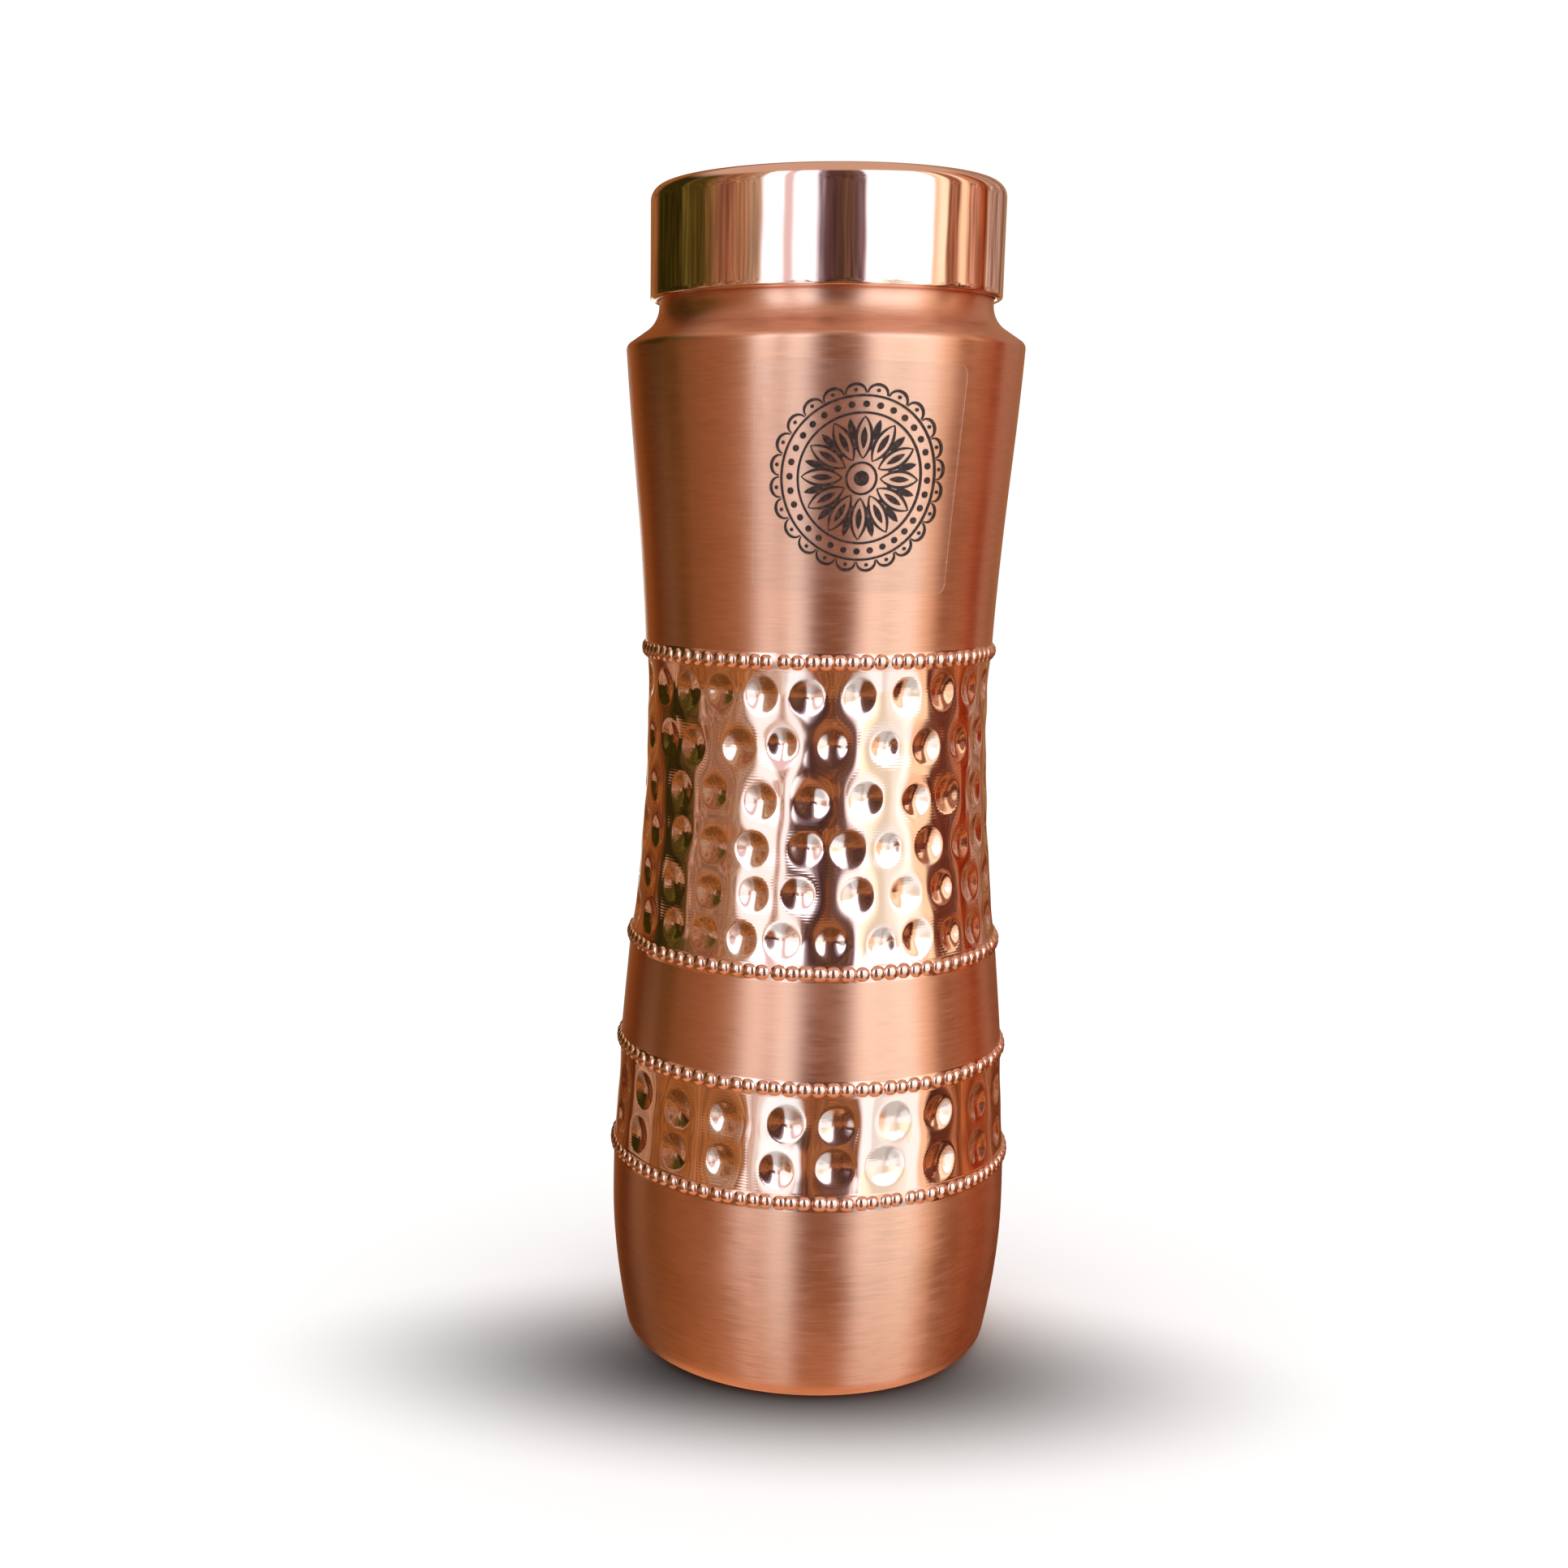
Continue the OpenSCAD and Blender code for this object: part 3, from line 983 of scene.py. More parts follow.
@dataclass
class SatinWall:
    """The three brushed stretches of the wall.

    Attributes:
        foot_top: Height of the upper edge of the foot.
        middle: Heights of the edges of the plain stretch between the bands.
        chest_low: Height of the lower edge of the chest.
        columns: Steps round the axis.
        step: Spacing of the rows of points.
        arc_steps: Steps along each round corner.
    """

    foot_top: float
    middle: Span
    chest_low: float
    columns: int = 256
    step: float = 1.4
    arc_steps: int = 8

    def build(self, wall: Wall) -> List[bpy.types.Object]:
        """Makes the foot, the middle and the chest.

        Args:
            wall: The wall's outline.

        Returns:
            The three pieces.
        """
        foot = wall.heel(self.arc_steps) + wall.stretch(wall.heel_z, self.foot_top, self.step)[1:]
        middle = wall.stretch(*self.middle, self.step)
        chest = wall.stretch(self.chest_low, wall.shoulder_z, self.step) + wall.shoulder(self.arc_steps)
        pieces = []
        for name, path, replaces in (
            ("wall_foot", foot, ""), ("wall_middle", middle, ""), ("wall_chest", chest, "body_shell"),
        ):
            work = Workpiece().sheet(path, wall.thickness, self.columns).move(wall.sway)
            pieces.append(work.finish(name, Body.BOTTLE, Slot.SATIN, (BRUSHED, BARE), replaces, wet_side))
        return pieces


def wet_side(centres: np.ndarray, normals: np.ndarray) -> np.ndarray:
    """Returns 1 for each face inside the bottle, and 0 for the ones that were brushed."""
    inwards = faces_inwards(centres, normals)
    return np.where(centres[:, 2] < Wall.lip_top, 0, inwards)


@dataclass(frozen=True)
class BeadRow:
    """One row of raised beads where two stretches of the wall meet.

    Attributes:
        name: The piece's name.
        height: Height of the row.
        count: Beads round the bottle.
        overlap: Width of a bead along the row, in steps from bead to bead.
        bead_h: Height of a bead.
        proud: How far a bead stands proud of the wall.
        sink: How far its middle lies under the wall.
        sizes: Smallest and largest bead, as shares of the size above.
        stray: How far a bead strays along the row, in steps from bead to bead.
        lean: How far a bead strays up or down.
        swage_h: Height of the low rounded ridge under the beads.
        swage_proud: How far that ridge stands proud of the wall.
        swage_deep: How far the ridge's back lies inside the wall.
        seed: Seed of the punch's unevenness.
    """

    name: str
    height: float
    count: int
    overlap: float = 1.24
    bead_h: float = 2.95
    proud: float = 0.8
    sink: float = 0.2
    sizes: Span = (0.94, 1.05)
    stray: float = 0.09
    lean: float = 0.05
    swage_h: float = 3.2
    swage_proud: float = 0.16
    swage_deep: float = 0.35
    seed: int = SEED

    def ridge(self, wall: Wall) -> Path:
        """Lists the outline of the ridge, which follows the wall's slope."""
        half = self.swage_h / 2
        low, high = wall.radius(self.height - half), wall.radius(self.height + half)
        crown = []
        for share in (-1, -0.8, -0.6, -0.3, 0, 0.3, 0.6, 0.8, 1):
            proud = self.swage_proud * math.cos(math.pi / 2 * share) ** 2
            crown.append((low + (high - low) * (share + 1) / 2 + proud, self.height + half * share))
        return crown + [(r - self.swage_deep, z) for r, z in (crown[-1], crown[0])]

    def build(self, wall: Wall) -> bpy.types.Object:
        """Makes the ridge and its beads.

        Args:
            wall: The wall that carries the row.

        Returns:
            The finished piece.
        """
        work = Workpiece().turn(self.ridge(wall), 240)
        radius = wall.radius(self.height)
        draw = np.random.default_rng(self.seed)
        half_w, half_h = self.overlap * TURN * radius / self.count / 2, self.bead_h / 2
        ball = bmesh.new()
        bmesh.ops.create_uvsphere(ball, u_segments=12, v_segments=6, radius=1.0)
        bead = bpy.data.meshes.new("bead")
        ball.to_mesh(bead)
        ball.free()
        for i in range(self.count):
            turn = Matrix.Rotation(TURN * (i + draw.normal(0, self.stray)) / self.count, 4, "Z")
            size = draw.uniform(*self.sizes)
            seat = Matrix.Translation((0, -(radius - self.sink), self.height + draw.normal(0, self.lean)))
            stretch = Matrix.Diagonal((half_w * size, self.proud + self.sink, half_h * size, 1.0))
            place = turn @ seat @ stretch
            bead.transform(place)
            work.bm.from_mesh(bead)
            bead.transform(place.inverted())
        bpy.data.meshes.remove(bead)
        outwards(work.bm)
        work.move(wall.sway)
        return work.finish(self.name, Body.BOTTLE, Slot.SATIN, (BEAD_COPPER,), sharp=60.0)


@dataclass
class BottleWall:
    """The whole wall: three brushed stretches, two hammered bands and four bead rows.

    Attributes:
        wall: The outline.
        bead_heights: Heights of the bead rows, from the top down.
        bead_counts: Beads in each row.
        upper_rows: Rows of marks in the upper band.
        lower_rows: Rows of marks in the lower band.
    """

    wall: Wall
    bead_heights: Tuple[float, ...] = (137.7, 82.5, 61.5, 40.3)
    bead_counts: Tuple[int, ...] = (82, 86, 90, 98)
    upper_rows: Tuple[HammerRow, ...] = (
        HammerRow(132.0, 24, -12.5), HammerRow(122.6, 23, -5.5), HammerRow(113.4, 22, -12.0),
        HammerRow(104.6, 25, -1.5), HammerRow(96.2, 23, 1.5), HammerRow(88.2, 26, -5.0),
    )
    lower_rows: Tuple[HammerRow, ...] = (HammerRow(54.8, 22, -2.2), HammerRow(46.3, 22, -3.4))

    def build(self) -> None:
        """Makes every piece of the wall."""
        top, upper_low, lower_top, lower_low = self.bead_heights
        SatinWall(lower_low, (lower_top, upper_low), top).build(self.wall)
        HammeredBand("band_upper", upper_low, top, self.upper_rows, seed=SEED + 1).build(self.wall)
        HammeredBand(
            "band_lower", lower_low, lower_top, self.lower_rows, mark_r=3.45, depth=0.54, seed=SEED + 2,
        ).build(self.wall)
        for place, (height, count) in enumerate(zip(self.bead_heights, self.bead_counts), start=1):
            BeadRow(f"bead_row_{place}", height, count, seed=SEED + 10 + place).build(self.wall)


# ---------------------------------------------------------------------------------------------
# The base
# ---------------------------------------------------------------------------------------------


@dataclass
class Base:
    """The pressed pan that closes the bottom, and the braze under its edge.

    Attributes:
        rim_r: Radius of the pan's turned-down edge.
        edge_z: Height of that edge.
        pan_z: Height of the pan.
        dome: How much higher its middle is.
        fold: Radius of its corner.
        thickness: Thickness of its sheet.
        ring_radii: Radii of the stiffening rings pressed into it.
        ring_depth: Depth of those rings.
        ring_w: Width of those rings.
        braze_w: Width of the braze.
        braze_h: Height of the braze.
        rings: Rings of points across the pan.
        columns: Steps round the axis.
    """

    rim_r: float = 28.2
    edge_z: float = 1.4
    pan_z: float = 4.8
    dome: float = 1.1
    fold: float = 1.4
    thickness: float = 0.6
    ring_radii: Tuple[float, ...] = (11.0, 19.5)
    ring_depth: float = 0.45
    ring_w: float = 2.2
    braze_w: float = 0.72
    braze_h: float = 0.36
    rings: int = 40
    columns: int = 128

    def pan_height(self, r: float) -> float:
        """Returns the height of the pan's underside at a radius."""
        height = self.pan_z + self.dome * math.cos(math.pi / 2 * r / (self.rim_r - self.fold))
        for ring in self.ring_radii:
            height += self.ring_depth * math.exp(-((2 * (r - ring) / self.ring_w) ** 2))
        return height

    def build(self) -> None:
        """Makes the pan and the braze."""
        reach = self.rim_r - self.fold
        corner = arc((reach, self.pan_z - self.fold), self.fold, 0, 90, 6)
        steps = [reach * (1 - i / self.rings) for i in range(1, self.rings + 1)]
        path = [(self.rim_r, self.edge_z)] + corner + [(r, self.pan_height(r)) for r in steps]
        pan = Workpiece().sheet(path, self.thickness, self.columns)
        pan.finish("base_pan_pressed", Body.BOTTLE, Slot.SATIN, (TURNED, BARE), "base_pan", upper_face)
        bead = BrazeBead("base_braze_run", (self.rim_r, self.edge_z), -self.braze_w, -self.braze_h)
        bead.build(Body.BOTTLE, "base_braze")


def upper_face(centres: np.ndarray, normals: np.ndarray) -> np.ndarray:
    """Returns 1 for each face that looks up, and 0 for the others."""
    return (normals[:, 2] > 0.3).astype(int)


@dataclass(frozen=True)
class BrazeBead:
    """A run of braze in the corner between two pieces.

    Attributes:
        name: The piece's name.
        corner: Radius and height of the corner that it fills.
        across: Its reach along the radius, negative towards the axis.
        up: Its reach along the height, negative downwards.
        lumps: How much its face swells and sinks, as a share of its size.
        seed: Seed of the lumps.
        steps: Steps across its hollow face.
        columns: Steps round the axis.
    """

    name: str
    corner: Point
    across: float
    up: float
    lumps: float = 0.16
    seed: int = SEED
    steps: int = 6
    columns: int = 220

    def build(self, body: Body, replaces: str) -> bpy.types.Object:
        """Makes the run.

        Args:
            body: The body that it rides on.
            replaces: The CAD node that it stands for.

        Returns:
            The finished piece.
        """
        r, z = self.corner
        hollow = [
            (r + self.across * (1 - math.sin(a)), z + self.up * (1 - math.cos(a)))
            for a in (math.pi / 2 * i / self.steps for i in range(self.steps + 1))
        ]
        work = Workpiece().turn([(r, z)] + hollow, self.columns)
        work.move(self.ripple)
        return work.finish(self.name, body, Slot.BRAZE, (BRAZE,), replaces)

    def ripple(self, points: np.ndarray) -> np.ndarray:
        """Moves the hollow face in and out, as braze that froze while it ran."""
        draw = np.random.default_rng(self.seed)
        angle = around(points)
        sets = (9, 17, 26, 41)
        wave = np.zeros(len(points))
        for waves in sets:
            wave += np.sin(waves * angle + draw.uniform(0, TURN)) / len(sets)
        along = (off_axis(points) - self.corner[0]) / self.across
        rise = (points[:, 2] - self.corner[1]) / self.up
        grow = 1 + self.lumps * wave
        moved = shift_radius(points, self.across * along * (grow - 1))
        moved[:, 2] = self.corner[1] + self.up * rise * grow
        return moved


# ---------------------------------------------------------------------------------------------
# Threads, the neck and the cap
# ---------------------------------------------------------------------------------------------


@dataclass(frozen=True)
class Thread:
    """A right-handed thread ridge that grows out of its wall and fades back into it.

    Attributes:
        start_z: Height of the ridge's middle where it starts.
        turns: Turns of ridge.
        phase: Angle where it starts, in degrees from +X.
        depth: How far it stands off its wall, negative for a thread that looks at the axis.
        pitch: Rise in one turn.
        root_w: Width at the wall.
        crest_w: Width of the crest.
        fade: Angle over which it grows, in degrees.
    """

    start_z: float
    turns: float
    phase: float
    depth: float
    pitch: float = 4.0
    root_w: float = 1.9
    crest_w: float = 0.55
    fade: float = 50.0

    def rise(self, points: np.ndarray) -> np.ndarray:
        """Returns how far the thread lifts each point off its wall."""
        turn = ((np.arctan2(points[:, 1], points[:, 0]) - math.radians(self.phase)) % TURN) / TURN
        climb = (points[:, 2] - self.start_z) / self.pitch
        whole = np.round(climb - turn)
        along = np.clip(turn + whole, 0, self.turns)
        away = np.abs(climb - turn - whole) * self.pitch
        shape = 1 - smooth_step(away, self.crest_w / 2, self.root_w / 2)
        reach = self.fade / 360
        inside = (turn + whole >= 0) & (turn + whole <= self.turns)
        grow = np.clip(np.minimum(along, self.turns - along) / reach, 0, 1)
        return self.depth * shape * np.where(inside, smooth_step(grow, 0, 1), 0)


@dataclass
class Neck:
    """The threaded collar that makes the mouth, and the braze that holds it.

    Attributes:
        mouth_r: Radius of the mouth.
        collar_r: Outer radius between the ridges.
        skirt_z: Height of the lower edge.
        rim_z: Height of the rim.
        rim_round: Radius of the rim's edges.
        ledge_z: Height of the ledge that the collar stands on.
        fillet: Size of the braze.
        thread: The thread outside.
        step: Spacing of the rows of points on the thread.
        columns: Steps round the axis.
        rim_steps: Steps round each edge of the rim.
    """

    mouth_r: float = 26.9
    collar_r: float = 28.0
    skirt_z: float = 198.5
    rim_z: float = 217.2
    rim_round: float = 0.5
    ledge_z: float = 201.4
    fillet: float = 0.9
    thread: Thread = Thread(204.6, 2.6, 0.0, 1.35)
    step: float = 0.2
    columns: int = 288
    rim_steps: int = 5

    def build(self) -> None:
        """Makes the collar and its braze."""
        r, edge, low, bend = self.collar_r, self.rim_round, self.skirt_z, self.rim_z - self.rim_round
        count = round((bend - low) / self.step)
        outside = [(r, low + (bend - low) * i / count) for i in range(count)]
        rim = arc((r - edge, bend), edge, 0, 90, self.rim_steps)
        rim += arc((self.mouth_r + edge, bend), edge, 90, 180, self.rim_steps)
        inside = [(self.mouth_r, z) for z in (self.rim_z - 6, low + 6, low)]
        collar = Workpiece().turn(outside + rim + inside, self.columns).move(self.cut_thread)
        collar.finish("neck_collar_threaded", Body.BOTTLE, Slot.TURNED, (TURNED,), "neck_collar")
        braze = BrazeBead("neck_braze_run", (r, self.ledge_z), self.fillet, self.fillet, seed=SEED + 3)
        braze.build(Body.BOTTLE, "neck_braze")

    def cut_thread(self, points: np.ndarray) -> np.ndarray:
        """Raises the thread on the collar's outside."""
        outside = off_axis(points) > self.collar_r - self.rim_round / 2
        return shift_radius(points, np.where(outside, self.thread.rise(points), 0))


@dataclass
class Cap:
    """The spun cap, its thread ring, the braze that holds the ring, and the seal under the top.

    Attributes:
        radius: Outer radius.
        low: Height of the lower edge.
        top: Height of the top's edge.
        dome: How much higher the top's middle is.
        corner: Radius of the corner round the top.
        thickness: Thickness of the sheet.
        hem_fold: Radius of the hem's fold.
        hem_top: Height of the hem's upper edge.
        ring_r: Inner radius of the ring between its ridges.
        ring_low: Height of the ring's lower edge.
        ring_top: Height of the ring's upper edge.
        fillet: Size of the braze.
        seal_radii: Inner and outer radius of the seal.
        seal_heights: Heights of its faces.
        seal_edge: Radius of its rounded edges.
        clearance: Gap between the ring and the shell's wall.
        thread: The thread inside the ring.
        thread_start: Height of the bore's plain edge under the thread.
        thread_step: Spacing of the rows of points on the thread.
        side_steps: Rows of points up the side.
        roof_rings: Rings of points across the top.
        columns: Steps round the shell.
        ring_columns: Steps round the thread ring.
        seal_columns: Steps round the seal.
    """

    radius: float
    low: float
    top: float
    dome: float = 0.2
    corner: float = 2.5
    thickness: float = 0.5
    hem_fold: float = 0.7
    hem_top: float = 202.2
    ring_r: float = 29.75
    ring_low: float = 203.2
    ring_top: float = 217.4
    fillet: float = 0.9
    seal_radii: Span = (25.2, 29.4)
    seal_heights: Span = (217.3, 219.8)
    seal_edge: float = 0.7
    clearance: float = 0.05
    thread: Thread = Thread(205.0, 2.4, 180.0, -1.35)
    thread_start: float = 0.4
    thread_step: float = 0.2
    side_steps: int = 24
    roof_rings: int = 16
    columns: int = 320
    ring_columns: int = 288
    seal_columns: int = 160

    def shell_path(self) -> Path:
        """Lists the shell's outside, from the hem's inner edge up to the middle of the top."""
        hem_r, flat_r = self.radius - 2 * self.hem_fold, self.radius - self.corner
        side_low, side_high = self.low + self.hem_fold, self.top - self.corner
        hem = arc((hem_r + self.hem_fold, side_low), self.hem_fold, 180, 360, 14)
        side = [
            (self.radius, side_low + (side_high - side_low) * i / self.side_steps)
            for i in range(1, self.side_steps)
        ]
        corner = arc((flat_r, side_high), self.corner, 0, 90, 12)
        steps = [flat_r * (1 - i / self.roof_rings) for i in range(1, self.roof_rings + 1)]
        roof = [(r, self.top + self.dome * math.cos(math.pi / 2 * r / flat_r)) for r in steps]
        return [(hem_r, self.hem_top)] + hem + side + corner + roof

    def waver(self, points: np.ndarray) -> np.ndarray:
        """Moves the cap's side by the slight waves that spinning leaves."""
        waves = ((3, 0.02), (8, 0.006), (19, 0.0028), (37, 0.0012))
        rise = hand_waves(points, waves, 0.05, SEED + 5, self.low)
        return shift_radius(points, np.where(off_axis(points) > self.radius - self.corner, rise, 0))

    def build(self) -> None:
        """Makes the shell, the ring, the braze and the seal."""
        shell = Workpiece().sheet(self.shell_path(), self.thickness, self.columns).move(self.waver)
        finishes = (MIRROR, TURNED)
        shell.finish("cap_shell_spun", Body.CAP, Slot.POLISHED, finishes, "cap_shell", self.under_cap)
        wall_r = self.radius - self.thickness
        self.build_ring(wall_r)
        size = -self.fillet
        braze = BrazeBead("cap_braze_run", (wall_r, self.ring_low), size, size * 0.7, seed=SEED + 4)
        braze.build(Body.CAP, "cap_braze")
        self.build_seal()

    def build_ring(self, wall_r: float) -> None:
        """Makes the threaded ring that fits inside the shell's wall."""
        outer, drop = wall_r - self.clearance, self.ring_low - self.ring_top
        count = round(-drop / self.thread_step)
        bore = [(self.ring_r, self.ring_top + drop * i / count) for i in range(count + 1)]
        ring = Workpiece().turn([(outer, self.ring_low), (outer, self.ring_top)] + bore, self.ring_columns)
        ring.move(self.cut_thread)
        ring.finish("cap_ring_threaded", Body.CAP, Slot.TURNED, (TURNED,), "cap_thread_ring")

    def under_cap(self, centres: np.ndarray, normals: np.ndarray) -> np.ndarray:
        """Returns 1 for each face on the cap's inside."""
        inner = off_axis(centres) < self.radius - self.thickness * 0.7
        above_hem = centres[:, 2] > self.hem_top + 0.2
        under_top = centres[:, 2] < self.top - self.thickness * 0.5
        return (inner & above_hem & under_top & ~self.over(centres)).astype(int)

    def over(self, centres: np.ndarray) -> np.ndarray:
        """Tells which face centres lie on the rounded outer corner."""
        flat = off_axis(centres) - (self.radius - self.corner)
        high = centres[:, 2] - (self.top - self.corner)
        return (flat > 0) & (high > 0) & (np.hypot(flat, high) > self.corner - self.thickness / 2)

    def cut_thread(self, points: np.ndarray) -> np.ndarray:
        """Raises the thread on the ring's inside, clear of its lower edge."""
        inside = off_axis(points) < self.ring_r + self.thickness
        hold = smooth_step(points[:, 2], self.ring_low, self.ring_low + self.thread_start)
        return shift_radius(points, np.where(inside, self.thread.rise(points) * hold, 0))

    def build_seal(self) -> None:
        """Makes the washer that the cap presses on the rim."""
        edge = self.seal_edge
        r_in, r_out = self.seal_radii[0] + edge, self.seal_radii[1] - edge
        z_low, z_high = self.seal_heights[0] + edge, self.seal_heights[1] - edge
        outline: Path = []
        corners = ((r_out, z_low, 270), (r_out, z_high, 0), (r_in, z_high, 90), (r_in, z_low, 180))
        for r, z, start in corners:
            outline += arc((r, z), edge, start, start + 90, 6)
        seal = Workpiece().turn(outline, self.seal_columns)
        seal.finish("seal_washer", Body.SEAL, Slot.SILICONE, (SILICONE,), "gasket")


# ---------------------------------------------------------------------------------------------
# The label
# ---------------------------------------------------------------------------------------------


@dataclass
class Label:
    """The clear film on the chest and the rosette printed on it.

    Attributes:
        wall: The wall that it sticks to.
        width: Width of the film, measured round the wall.
        height: Height of the film.
        centre_z: Height of its centre.
        tilt: Lean in degrees, clockwise.
        corner: Radius of its corners.
        thickness: Thickness of the film.
        ink: Thickness of the print.
        bubbles: Bubbles of trapped air near the film's left edge.
        folds: Centre and half length of each small fold, from the film's centre.
    """

    wall: Wall
    width: float = 37.0
    height: float = 38.5
    centre_z: float = 169.0
    tilt: float = 1.5
    corner: float = 1.7
    thickness: float = 0.13
    ink: float = 0.03
    bubbles: int = 14
    folds: Tuple[Tuple[float, float, float], ...] = (
        (-9.2, -12.6, 3.2), (-12.0, -17.2, 1.6), (6.4, 14.2, 0.8),
    )

    def wrap(self, points: np.ndarray, lift: float) -> np.ndarray:
        """Lays flat points on the wall.

        Args:
            points: Rows [across, up, off the wall] about the film's centre.
            lift: Extra distance off the wall.

        Returns:
            The points on the bottle.
        """
        lean = math.radians(-self.tilt)
        x = points[:, 0] * math.cos(lean) - points[:, 1] * math.sin(lean)
        z = self.centre_z + points[:, 0] * math.sin(lean) + points[:, 1] * math.cos(lean)
        radius = np.array([self.wall.radius(h) for h in z]) + points[:, 2] + lift
        angle = x / self.wall.radius(self.centre_z)
        return self.wall.sway(np.column_stack([radius * np.sin(angle), -radius * np.cos(angle), z]))

    def creases(self, flat: np.ndarray) -> np.ndarray:
        """Returns how far trapped air lifts the film at each flat point."""
        draw = np.random.default_rng(SEED + 6)
        bubbles = []
        for _ in range(self.bubbles):
            x, y = abs(draw.normal(0, 2.2)) + 0.8 - self.width / 2, draw.uniform(4, 17)
            long, wide, tall = draw.uniform(0.8, 2.2), draw.uniform(0.35, 0.7), draw.uniform(0.05, 0.12)
            bubbles.append((x, y, wide, long, tall))
        bubbles += [(x, y, 0.35, long, 0.1) for x, y, long in self.folds]
        lift = np.zeros(len(flat))
        for x, y, wide, long, tall in bubbles:
            lift += tall * np.exp(-(((flat[:, 0] - x) / wide) ** 2) - ((flat[:, 1] - y) / long) ** 2)
        return lift

    def round_corners(self, flat: np.ndarray) -> np.ndarray:
        """Pulls the points of a rectangle's corners into quarter discs."""
        half = np.array([self.width, self.height]) / 2 - self.corner
        away = np.abs(flat[:, :2])
        over = np.maximum(away - half, 0)
        long = np.maximum(np.hypot(over[:, 0], over[:, 1]), 1e-9)
        pull = np.where(over.min(axis=1) > 0, over.max(axis=1) / long, 1.0)
        rounded = flat.copy()
        rounded[:, :2] = np.sign(flat[:, :2]) * (np.minimum(away, half) + over * pull[:, None])
        return rounded

    def lay(self, work: Workpiece, thickness: float, lift: float) -> Workpiece:
        """Thickens a flat sheet and lays it on the wall.

        Args:
            work: The flat sheet.
            thickness: The sheet's thickness.
            lift: Distance of its back from the wall.

        Returns:
            The workpiece, wrapped round the bottle.
        """
        bmesh.ops.solidify(work.bm, geom=work.bm.faces[:], thickness=thickness)
        low = np.array([0, 0, min(v.co.z for v in work.bm.verts)])
        work.move(lambda points: self.wrap(points - low + np.outer(self.creases(points), (0, 0, 1)), lift))
        outwards(work.bm)
        return work

    def build(self) -> None:
        """Makes the film and the print."""
        film = Workpiece()
        size = Matrix.Diagonal((self.width / 2, self.height / 2, 1.0, 1.0))
        bmesh.ops.create_grid(film.bm, x_segments=120, y_segments=96, size=1.0, matrix=size)
        self.lay(film.move(self.round_corners), self.thickness, STUCK)
        finishes = (FILM, FILM_EDGE)
        film.finish("label_film_sheet", Body.BOTTLE, Slot.FILM, finishes, "label_film", self.is_edge)
        Rosette(self).build()

    def is_edge(self, centres: np.ndarray, normals: np.ndarray) -> np.ndarray:
        """Returns 1 for each face on the film's cut edge."""
        along = centres[:, 0] * normals[:, 0] + centres[:, 1] * normals[:, 1]
        return (np.abs(along) / off_axis(centres) < 0.5).astype(int)


def swell(share: float) -> float:
    """Returns how full a pen stroke is at a share of its length: 0 at its ends, 1 in its middle."""
    return math.sin(math.pi * share)


def disc(share: float) -> float:
    """Returns the width of a disc at a share of its height, where the disc is 1 across."""
    return 2 * math.sqrt(max(share * (1 - share), 0.0))


